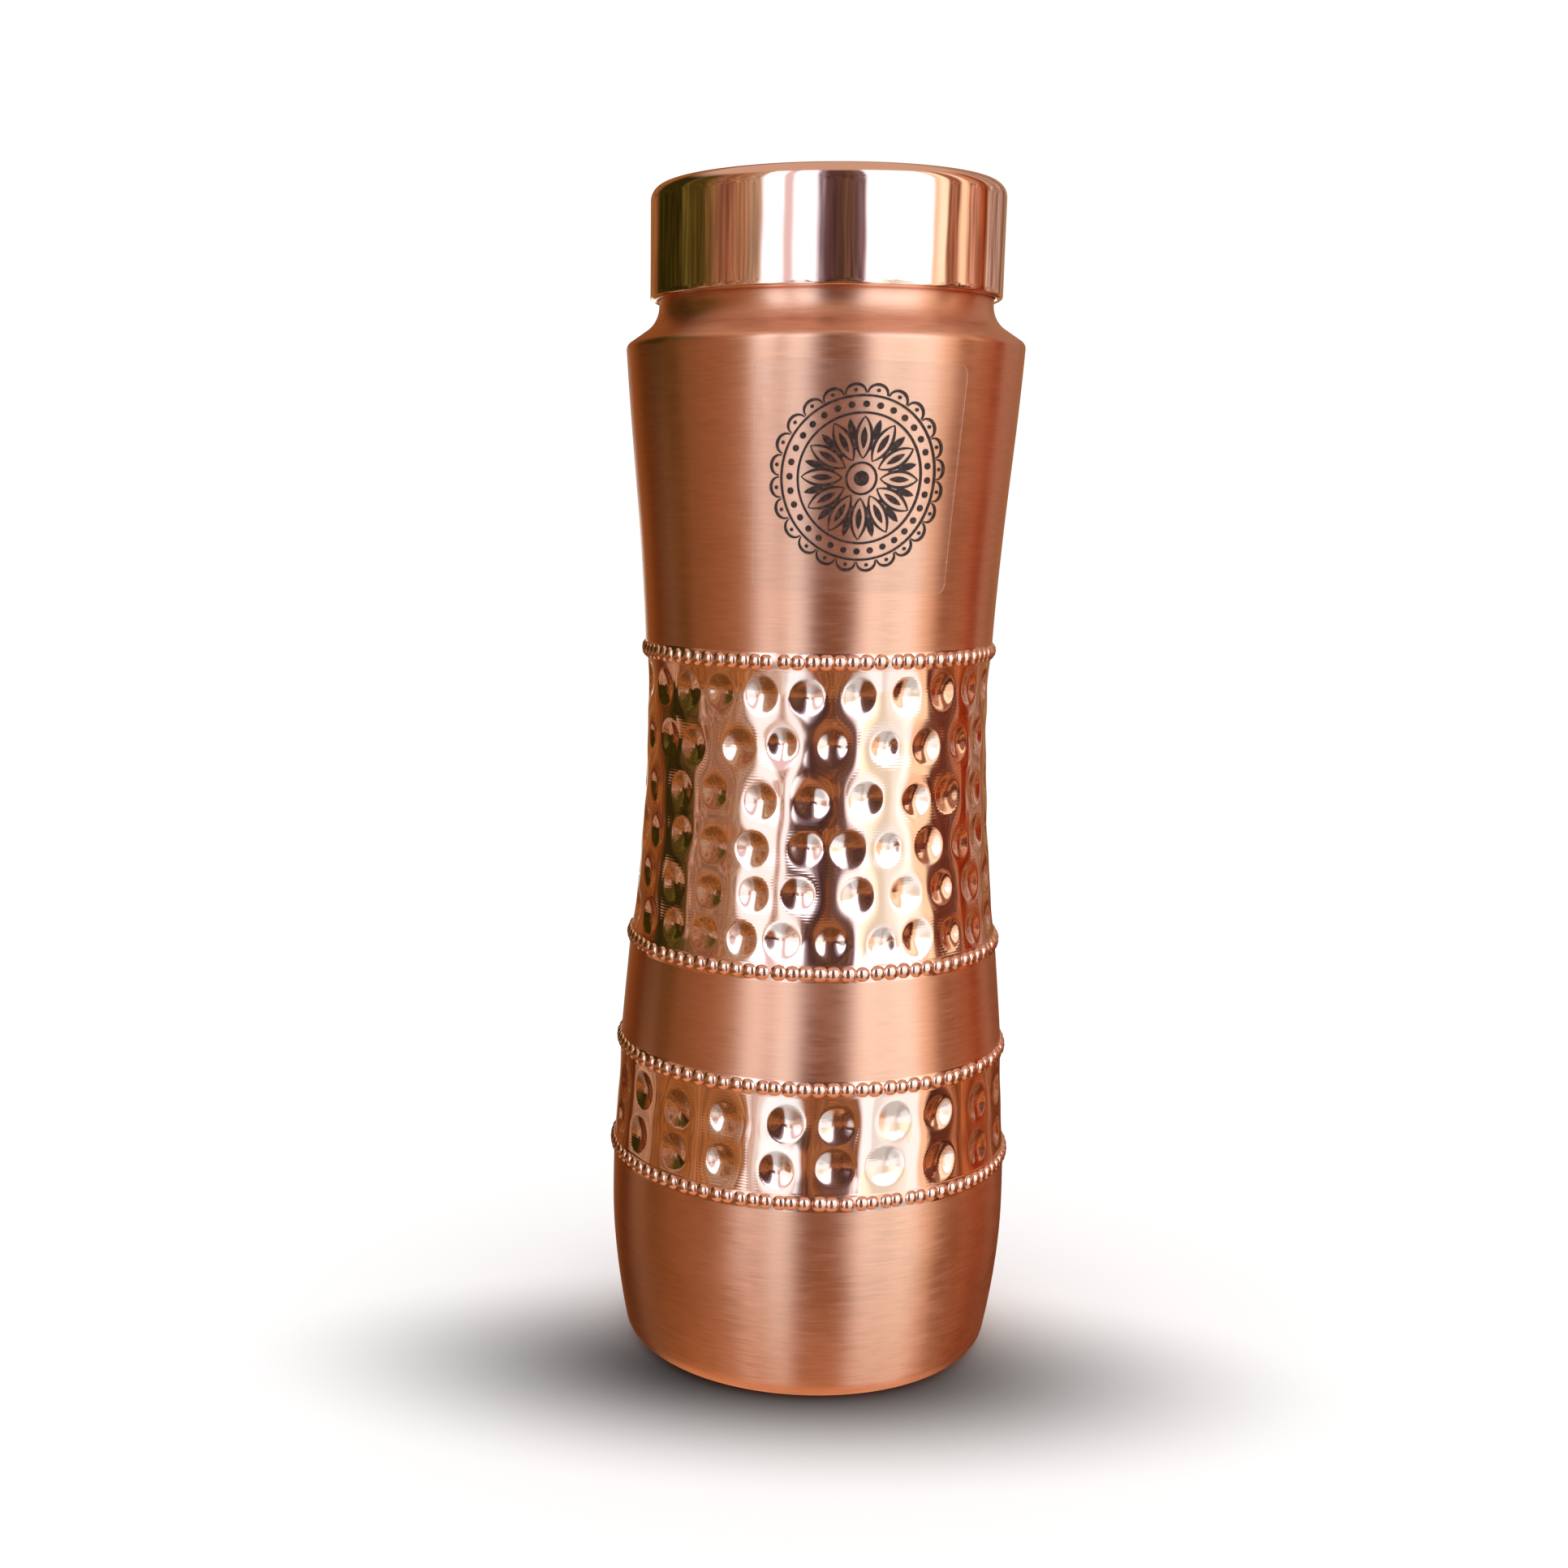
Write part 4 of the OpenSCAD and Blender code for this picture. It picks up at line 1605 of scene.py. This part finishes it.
@dataclass
class Rosette:
    """The printed rosette: rings, petals, leaves, scallops and dots drawn as strokes.

    Attributes:
        label: The label that carries it.
        thin: Width of the thin lines.
        petals: Petals in the rosette.
        ring_radii: Radii of the thin rings.
        hub: Width of the dot in the middle.
        petal_start: Radius where the petals start.
        petal_long: Length of a petal.
        petal_wide: Width of a petal.
        inner_leaf: Start, length and width of the leaf in each petal.
        outer_leaf: Start, length and width of the leaf between each two petals.
        bud: Distance from the middle and width of the dot between each two petals.
        scallop_r: Radius of the circle that carries the scallops.
        scallop_high: Height of a scallop.
        scallop_dot: Distance of its dot from that circle, and the dot's width.
        dots: Dots in the ring of dots.
        dot_ring: Radius of that ring and width of its dots.
    """

    label: Label
    thin: float = 0.38
    petals: int = 12
    ring_radii: Tuple[float, ...] = (2.6, 10.8, 13.6)
    hub: float = 2.6
    petal_start: float = 3.3
    petal_long: float = 6.9
    petal_wide: float = 2.7
    inner_leaf: Tuple[float, float, float] = (4.9, 3.6, 1.0)
    outer_leaf: Tuple[float, float, float] = (6.6, 3.4, 1.15)
    bud: Span = (5.2, 0.75)
    scallop_r: float = 14.0
    scallop_high: float = 1.5
    scallop_dot: Span = (0.55, 0.62)
    dots: int = 32
    dot_ring: Span = (12.2, 1.1)

    def stroke(
        self, work: Workpiece, line: Callable[[float], Point], width: Callable[[float], float], steps: int
    ) -> None:
        """Draws one pen stroke as a strip.

        Args:
            work: The workpiece that takes the strip.
            line: Gives the point of the stroke's middle at a share of its length, from 0 to 1.
            width: Gives the stroke's width there.
            steps: Steps along the stroke.
        """
        nudge = 1e-3
        made = bmesh.ops.create_grid(work.bm, x_segments=steps, y_segments=1, size=1.0)
        for vert in made["verts"]:
            share, side = (vert.co.x + 1) / 2, vert.co.y
            way = Vector(line(min(share + nudge, 1.0))) - Vector(line(max(share - nudge, 0.0)))
            way.normalize()
            place = Vector(line(share)) + Vector((-way.y, way.x)) * side * width(share) / 2
            vert.co = (place.x, place.y, 0.0)

    def spoke(self, turn: float, along: float, off: float = 0.0) -> Point:
        """Returns a point at a distance along a spoke and off it.

        Args:
            turn: The spoke's angle, clockwise from upright, in radians.
            along: Distance from the centre.
            off: Distance to the spoke's right.

        Returns:
            The point [across, up].
        """
        return (
            along * math.sin(turn) + off * math.cos(turn),
            along * math.cos(turn) - off * math.sin(turn),
        )

    def draw(self, work: Workpiece) -> None:
        """Draws every stroke of the rosette."""
        for r in self.ring_radii:
            self.stroke(work, lambda s, r=r: self.spoke(TURN * s, r), lambda s: self.thin, 120)
        self.stroke(work, lambda s: (0, self.hub * (s - 0.5)), lambda s: self.hub * disc(s), 10)
        for i in range(self.petals):
            turn = TURN * i / self.petals
            between = turn + TURN / 2 / self.petals
            self.petal(work, turn)
            self.leaf(work, turn, *self.inner_leaf)
            self.leaf(work, between, *self.outer_leaf)
            self.dot(work, between, *self.bud)
        for i in range(2 * self.petals):
            self.scallop(work, TURN * (i + 0.5) / 2 / self.petals)
        for i in range(self.dots):
            self.dot(work, TURN * i / self.dots, *self.dot_ring)

    def petal(self, work: Workpiece, turn: float) -> None:
        """Draws the two bowed sides of a petal along a spoke."""
        for side in (-1, 1):
            self.stroke(
                work, lambda s, k=side: self.spoke(
                    turn, self.petal_start + self.petal_long * s, k * self.petal_wide / 2 * swell(s) ** 0.8,
                ),
                lambda s: self.thin * (0.45 + 0.9 * swell(s)), 14,
            )

    def scallop(self, work: Workpiece, turn: float) -> None:
        """Draws a scallop and its dot on a spoke."""
        half = 0.92 * TURN / 4 / self.petals
        self.stroke(
            work, lambda s: self.spoke(
                turn + half * math.cos(math.pi * s), self.scallop_r + self.scallop_high * swell(s),
            ),
            lambda s: self.thin * (0.5 + 0.8 * swell(s)), 10,
        )
        off, wide = self.scallop_dot
        self.dot(work, turn, self.scallop_r + off, wide)

    def leaf(self, work: Workpiece, turn: float, start: float, long: float, wide: float) -> None:
        """Draws a solid leaf along a spoke."""
        self.stroke(
            work, lambda s: self.spoke(turn, start + long * s), lambda s: wide * swell(s) ** 0.8 + 0.02, 10,
        )

    def dot(self, work: Workpiece, turn: float, away: float, wide: float) -> None:
        """Draws a round dot on a spoke."""
        self.stroke(
            work, lambda s: self.spoke(turn, away + wide * (s - 0.5)), lambda s: wide * disc(s) + 0.02, 8,
        )

    def build(self) -> bpy.types.Object:
        """Prints the rosette on the film."""
        work = Workpiece()
        self.draw(work)
        bmesh.ops.remove_doubles(work.bm, verts=work.bm.verts[:], dist=1e-4)
        self.label.lay(work, self.label.ink, self.label.thickness + STUCK)
        return work.finish("label_print_rosette", Body.BOTTLE, Slot.INK, (INK,), "label_print")


# ---------------------------------------------------------------------------------------------
# The studio
# ---------------------------------------------------------------------------------------------


@dataclass(frozen=True)
class Card:
    """A card or a soft box that stands round the bottle.

    Attributes:
        start: Its first edge in degrees round the bottle, from the camera towards its right.
        end: Its other edge.
        colour: The light that it gives.
        soft: Half the width of its blurred edges in degrees.
    """

    start: float
    end: float
    colour: Colour
    soft: float = 0.8


@dataclass
class Studio:
    """The camera, the floor and the lights.

    Attributes:
        turn: Angle of the camera round the bottle in degrees, from -Y towards +X.
        distance: Distance of the camera from the bottle's axis, in metres.
        eye: Height of the camera, in metres.
        swing: Angle in degrees by which it looks past the bottle, positive to the right.
        pitch: Angle in degrees by which it looks down.
        roll: Angle in degrees by which it is rolled.
        lens: Focal length in millimetres.
        shift: Shift of the lens.
        high_cards: What mirrored rays meet above the level.
        middle_cards: What they meet down to about 9 degrees below the level.
        low_cards: What they meet lower still.
        cards_per_ramp: Cards in each colour ramp, which holds two stops for each.
        sway: How far the cards' upright edges wander, in degrees.
        ragged: How far the level edges wander, in degrees.
        high_from: Angles above the level over which the high cards take over from the middle ones.
        middle_from: Angles over which the middle cards take over from the low ones.
        dusk: How dark the low cards are at their foot, as a share of their colour.
        dusk_to: Angles over which they rise from that to their full colour.
        ceiling: The colour that mirrored rays meet overhead.
        ceiling_from: Angles over which the ceiling takes over.
        ground: The colour that they meet far below.
        ground_to: Angles over which the ground gives way to the low cards.
        plain: The even white light that reaches everything but the mirrored rays.
        painted_shadow_ahead: How far the middle of the soft dark shadow painted on the floor lies towards
            the camera, in metres.
        painted_shadow_aside: How far it lies to the camera's right, in metres.
        painted_shadow_wide: How many times wider than deep the painted shadow is.
        painted_shadow_fade: Depths at which the painted shadow starts and ends fading, in metres.
        dark: The colour painted in the middle of the shadow.
        pale: The floor's colour.
        floor_half: Half the width of the floor, in metres.
        lamp_size: Width and depth of the lamp overhead, in metres.
        lamp_z: Height of that lamp, in metres.
        lamp_power: Power of that lamp, in watts.
    """

    turn: float = -11.2
    distance: float = 0.3765
    eye: float = 0.1689
    swing: float = -5.05
    pitch: float = 12.59
    roll: float = 0.17
    lens: float = 45.07
    shift: Span = (0.0903, 0.0847)
    high_cards: Tuple[Card, ...] = (
        Card(-180, -146, (0.32, 0.13, 0.04), 3), Card(-140, -107, (0.035, 0.03, 0.004), 2),
        Card(-105, -101, (0.11, 0.1, 0.02)), Card(-98, -86, (0.08, 0.065, 0.012)),
        Card(-82, -76, (0.2, 0.13, 0.045), 2), Card(-74, -70.5, (0.33, 0.17, 0.095)),
        Card(-69, -65, (0.27, 0.12, 0.07)), Card(-62, -52, (0.4, 0.23, 0.13), 2),
        Card(-49, -42, (0.52, 0.4, 0.28)), Card(-39.5, -28.5, (1.75, 2.3, 2.9)),
        Card(-27, -21.5, (0.88, 0.82, 0.92)), Card(-20, -7, (1.75, 2.3, 2.9)),
        Card(-5.2, -2, (0.33, 0.3, 0.38)), Card(-0.5, 5, (0.1, 0.055, 0.06)),
        Card(6.5, 10, (0.1, 0.06, 0.045)), Card(12, 17, (0.14, 0.085, 0.06)),
        Card(19, 23.5, (0.22, 0.16, 0.19)), Card(25.5, 69, (1.75, 2.25, 2.75)),
        Card(70.5, 73.5, (1.2, 0.9, 0.7)), Card(75, 81, (1.35, 1.3, 1.05)),
        Card(82, 91.5, (0.37, 0.17, 0.1)), Card(93.5, 98.5, (1.2, 1.0, 0.72)),
        Card(100.5, 111, (0.58, 0.32, 0.22), 1.5), Card(113, 116, (0.42, 0.13, 0.06)),
        Card(118, 121.5, (0.28, 0.07, 0.02)), Card(124, 128, (0.61, 0.46, 0.38)),
        Card(131, 140, (0.42, 0.28, 0.22), 2), Card(143.5, 147, (0.56, 0.43, 0.36)),
        Card(149.5, 153, (0.31, 0.15, 0.09)), Card(156, 180, (0.43, 0.26, 0.15), 2),
    )
    middle_cards: Tuple[Card, ...] = (
        Card(-180, -162, (1.2, 1.2, 1.1), 1.5), Card(-157, -137, (0.31, 0.12, 0.033), 2),
        Card(-132, -124, (0.2, 0.065, 0.016), 2), Card(-118, -99, (0.034, 0.028, 0.006), 1.5),
        Card(-96, -90, (0.11, 0.07, 0.02), 1.5), Card(-87.5, -83, (0.5, 0.33, 0.24)),
        Card(-80, -54, (0.36, 0.22, 0.14), 2), Card(-50, -44.5, (0.46, 0.35, 0.26)),
        Card(-41, -28, (1.3, 1.5, 1.7)), Card(-26, -20.5, (0.6, 0.5, 0.45)),
        Card(-19, -13.5, (1.3, 1.5, 1.7)), Card(-11.5, -8.5, (0.2, 0.13, 0.12)),
        Card(-6, -1, (0.1, 0.055, 0.045)), Card(0, 4.5, (0.075, 0.042, 0.04)),
        Card(7, 10, (0.22, 0.09, 0.04)), Card(12.5, 17, (0.16, 0.09, 0.065)),
        Card(19, 23, (0.19, 0.12, 0.11)), Card(25.5, 30.5, (1.5, 1.65, 1.9)),
        Card(32.5, 36.5, (1.4, 1.55, 1.35)), Card(38.5, 47, (0.9, 1.0, 0.9), 2),
        Card(50, 55, (1.1, 1.3, 1.3), 1.5), Card(57.5, 66, (1.3, 1.65, 1.7), 2),
        Card(68.5, 72.5, (1.1, 1.1, 0.8)), Card(74, 79, (1.2, 1.05, 0.75)),
        Card(81, 98, (0.16, 0.048, 0.03)), Card(100, 103.5, (0.2, 0.1, 0.07)),
        Card(106, 109.5, (0.5, 0.2, 0.11)), Card(112, 122, (0.28, 0.04, 0.01)),
        Card(124.5, 128, (0.56, 0.38, 0.3)), Card(131, 139, (0.4, 0.24, 0.17), 2),
        Card(142, 147, (0.3, 0.13, 0.06)), Card(150, 180, (0.42, 0.22, 0.1), 2),
    )
    low_cards: Tuple[Card, ...] = (
        Card(-180, -163, (0.45, 0.3, 0.2), 2), Card(-157, -138, (0.2, 0.07, 0.02), 3),
        Card(-134, -126, (0.12, 0.03, 0.01), 1.5), Card(-122, -109, (0.46, 0.29, 0.18)),
        Card(-105, -101, (0.28, 0.13, 0.055)), Card(-97, -80, (0.3, 0.125, 0.035), 2),
        Card(-74, -48, (0.39, 0.18, 0.065), 3), Card(-44, -40, (0.42, 0.23, 0.11)),
        Card(-37.5, -27, (0.68, 0.6, 0.56), 1.5), Card(-24.5, -21, (0.93, 1.05, 1.1)),
        Card(-18.5, -8, (1.2, 1.6, 1.9)), Card(-5.5, -0.5, (0.36, 0.165, 0.08)),
        Card(1, 4.5, (0.3, 0.13, 0.055)), Card(7, 28, (0.36, 0.17, 0.075), 1.5),
        Card(30.5, 41, (1.2, 1.55, 1.8)), Card(43.5, 48, (0.95, 1.15, 1.25)),
        Card(50.5, 67.5, (1.2, 1.5, 1.65), 1.5), Card(69.5, 76.5, (1.15, 0.85, 0.6)),
        Card(79, 85, (0.14, 0.04, 0.02)), Card(87.5, 91.5, (0.5, 0.22, 0.12)),
        Card(94, 97, (0.22, 0.065, 0.02)), Card(100, 108, (0.52, 0.18, 0.065), 1.5),
        Card(112, 123, (0.34, 0.085, 0.03), 2), Card(127, 139, (0.38, 0.16, 0.08), 2),
        Card(143, 180, (0.2, 0.055, 0.02), 2),
    )
    cards_per_ramp: int = 15
    sway: float = 2.5
    ragged: float = 22.0
    high_from: Span = (0.0, 2.5)
    middle_from: Span = (-10.5, -8.0)
    dusk: float = 0.55
    dusk_to: Span = (-27.0, -17.0)
    ceiling: Colour = (0.66, 0.5, 0.4)
    ceiling_from: Span = (36.0, 52.0)
    ground: Colour = (0.78, 0.42, 0.22)
    ground_to: Span = (-52.0, -38.0)
    plain: float = 1.07
    # The shadow round the bottle is painted on the floor: the next fields place and shape it, and dark is
    # its colour.
    painted_shadow_ahead: float = 0.022
    painted_shadow_aside: float = -0.003
    painted_shadow_wide: float = 2.2
    painted_shadow_fade: Span = (0.0035, 0.0505)
    dark: Colour = (0.015, 0.015, 0.015)
    pale: Colour = (0.95, 0.95, 0.95)
    floor_half: float = 6.0
    lamp_size: Span = (0.9, 0.3)
    lamp_z: float = 0.75
    lamp_power: float = 0.6

    def ramp(self, sheet: NodeSheet, degrees: Feed, cards: Sequence[Card]) -> Feed:
        """Writes a few cards as one colour ramp.

        Args:
            sheet: The world's node sheet.
            degrees: Angle round the bottle, from -180 to 180.
            cards: The cards in order.

        Returns:
            The colour at that angle.
        """
        low, span = cards[0].start, cards[-1].end - cards[0].start
        share = sheet.math("MULTIPLY_ADD", degrees, 1 / span, -low / span)
        ramp = sheet.add("ShaderNodeValToRGB", {0: share})
        elements = ramp.color_ramp.elements
        elements.remove(elements[-1])
        stops = [(edge, card) for card in cards for edge in (card.start + card.soft, card.end - card.soft)]
        for place, (edge, card) in enumerate(stops):
            at = (edge - low) / span
            element = elements[0] if place == 0 else elements.new(at)
            element.position = at
            element.color = rgba(card.colour)
        return ramp.outputs[0]

    def ring(self, sheet: NodeSheet, degrees: Feed, cards: Sequence[Card]) -> Feed:
        """Writes the colours that stand once round the bottle.

        Args:
            sheet: The world's node sheet.
            degrees: Angle round the bottle, from -180 to 180.
            cards: The cards in order.

        Returns:
            The colour at that angle.
        """
        shown = self.ramp(sheet, degrees, cards[:self.cards_per_ramp])
        for first in range(self.cards_per_ramp, len(cards), self.cards_per_ramp):
            here = self.ramp(sheet, degrees, cards[first:first + self.cards_per_ramp])
            edge = (cards[first - 1].end + cards[first].start) / 2
            shown = sheet.blend(sheet.math("GREATER_THAN", degrees, edge), shown, here)
        return shown

    def faced(self, sheet: NodeSheet, place: Feed) -> bpy.types.NodeSocket:
        """Returns a place turned about the axis, so that -Y is the camera's side."""
        feeds = {"Vector": place, "Angle": math.radians(-self.turn)}
        return sheet.add("ShaderNodeVectorRotate", feeds, rotation_type="Z_AXIS").outputs[0]

    def room(self, sheet: NodeSheet, way: Feed) -> Feed:
        """Writes what a mirrored ray meets: three rings of cards, a ceiling and the ground.

        Args:
            sheet: The world's node sheet.
            way: The ray's direction, with the camera on the side of -Y.

        Returns:
            The colour in that direction.
        """
        parts = sheet.add("ShaderNodeSeparateXYZ", {0: way})
        azimuth = sheet.math("ARCTAN2", parts.outputs[0], sheet.math("MULTIPLY", parts.outputs[1], -1.0))
        wobble = sheet.math("SUBTRACT", sheet.noise(way, 9.0, 3.0), 0.5)
        degrees = sheet.math("MULTIPLY_ADD", azimuth, DEGREES, sheet.math("MULTIPLY", wobble, self.sway))
        height = sheet.math("MULTIPLY", sheet.math("ARCSINE", parts.outputs[2]), DEGREES)
        ragged = sheet.math("SUBTRACT", sheet.noise(way, 6.0, 4.0), 0.5)
        lift = sheet.math("MULTIPLY_ADD", ragged, self.ragged, height)
        rings = (self.low_cards, self.middle_cards, self.high_cards)
        low, middle, high = (self.ring(sheet, degrees, cards) for cards in rings)
        room = sheet.blend(sheet.remap(lift, *self.middle_from), low, middle)
        room = sheet.blend(sheet.remap(lift, *self.high_from), room, high)
        tone = self.foliage(sheet, way, room, height)
        tone = sheet.math("MULTIPLY", tone, sheet.remap(lift, *self.dusk_to, self.dusk, 1.0))
        room = sheet.add("ShaderNodeVectorMath", {0: room, "Scale": tone}, operation="SCALE").outputs[0]
        room = sheet.blend(sheet.remap(height, *self.ceiling_from), room, rgba(self.ceiling))
        return sheet.blend(sheet.remap(lift, *self.ground_to), rgba(self.ground), room)

    def foliage(self, sheet: NodeSheet, way: Feed, room: Feed, height: Feed) -> Feed:
        """Returns a mottled factor for dark cards, and 1 for bright ones and high up."""
        leaves = sheet.remap(sheet.noise(way, 26.0, 4.0), 0.35, 0.7, 0.6, 1.45)
        green = sheet.add("ShaderNodeSeparateXYZ", {0: room}).outputs[1]
        calm = sheet.math("MAXIMUM", sheet.remap(green, 0.4, 0.8), sheet.remap(height, 16.0, 30.0))
        return sheet.math("MULTIPLY_ADD", sheet.math("SUBTRACT", 1.0, leaves), calm, leaves)

    def world(self) -> None:
        """Writes the light: the room for mirrored rays, and plain even white for everything else."""
        world = bpy.data.worlds.new("studio")
        bpy.context.scene.world = world
        world.use_nodes = True
        sheet = NodeSheet(world.node_tree)
        way = self.faced(sheet, sheet.add("ShaderNodeTexCoord").outputs["Generated"])
        mirrored = sheet.add("ShaderNodeLightPath").outputs["Is Glossy Ray"]
        shown = sheet.blend(mirrored, rgba((self.plain,) * 3), self.room(sheet, way))
        light = sheet.add("ShaderNodeBackground", {"Color": shown, "Strength": 1.0}).outputs[0]
        sheet.add("ShaderNodeOutputWorld", {"Surface": light})
        world.cycles.sampling_method = "NONE"

    def floor(self) -> None:
        """Lays the pale floor, which carries a painted shadow and which no mirrored ray sees."""
        work = bmesh.new()
        bmesh.ops.create_grid(work, x_segments=1, y_segments=1, size=self.floor_half)
        mesh = bpy.data.meshes.new("floor")
        work.to_mesh(mesh)
        work.free()
        mesh.materials.append(new_material("pale_floor_painted_shadow", self.floor_paint))
        floor = place_in_scene("floor", mesh)
        floor.visible_glossy = False

    def floor_paint(self, sheet: NodeSheet) -> None:
        """Writes the floor's pale paint and the soft dark shadow painted round the bottle."""
        # A soft shadow is painted into the floor's colour: dark round the bottle, fading out to pale in an
        # ellipse.
        painted_shadow_place = sheet.add("ShaderNodeMapping", {
            "Vector": self.faced(sheet, sheet.add("ShaderNodeTexCoord").outputs["Object"]),
            "Location": (-self.painted_shadow_aside / self.painted_shadow_wide, self.painted_shadow_ahead, 0.0),
            "Scale": (1 / self.painted_shadow_wide, 1.0, 1.0),
        }).outputs[0]
        away = sheet.add("ShaderNodeVectorMath", {0: painted_shadow_place}, operation="LENGTH").outputs["Value"]
        tone = sheet.remap(away, *self.painted_shadow_fade)
        sheet.principled({
            "Base Color": sheet.blend(tone, rgba(self.dark), rgba(self.pale)),
            "Roughness": 0.9, "Specular IOR Level": 0.0,
        })

    def lamp(self) -> None:
        """Hangs the broad soft light over the bottle."""
        light = bpy.data.lights.new("overhead", "AREA")
        light.shape = "RECTANGLE"
        light.size, light.size_y = self.lamp_size
        light.energy = self.lamp_power
        lamp = place_in_scene("overhead", light)
        lamp.location = (0.0, 0.0, self.lamp_z)
        lamp.visible_glossy = False

    def camera(self) -> None:
        """Sets up the camera."""
        data = bpy.data.cameras.new("camera")
        data.lens = self.lens
        data.sensor_width = 36.0
        data.shift_x, data.shift_y = self.shift
        data.clip_start = 0.01
        camera = place_in_scene("camera", data)
        turn = Matrix.Rotation(math.radians(self.turn), 4, "Z")
        swing, pitch = math.radians(self.swing), math.radians(self.pitch)
        level = math.cos(pitch)
        ahead = Vector((level * math.sin(swing), level * math.cos(swing), -math.sin(pitch)))
        look = ahead.to_track_quat("-Z", "Y").to_matrix().to_4x4()
        stand = turn @ Matrix.Translation((0.0, -self.distance, self.eye))
        camera.matrix_world = stand @ look @ Matrix.Rotation(math.radians(self.roll), 4, "Z")
        bpy.context.scene.camera = camera

    def build(self) -> None:
        """Sets up everything round the bottle."""
        self.camera()
        self.world()
        self.floor()
        self.lamp()
        bpy.context.scene.view_settings.view_transform = "Standard"


def main() -> None:
    """Builds the bottle and the studio round it."""
    logging.basicConfig(level=logging.INFO, format="%(message)s")
    wall = Wall()
    cap_low, cap_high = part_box("cap_shell")
    BottleWall(wall).build()
    Base().build()
    Neck().build()
    Label(wall).build()
    Cap(radius=cap_high.x / MM, low=cap_low.z / MM, top=cap_high.z / MM - Cap.dome).build()
    Studio().build()


if __name__ == "__main__":
    main()
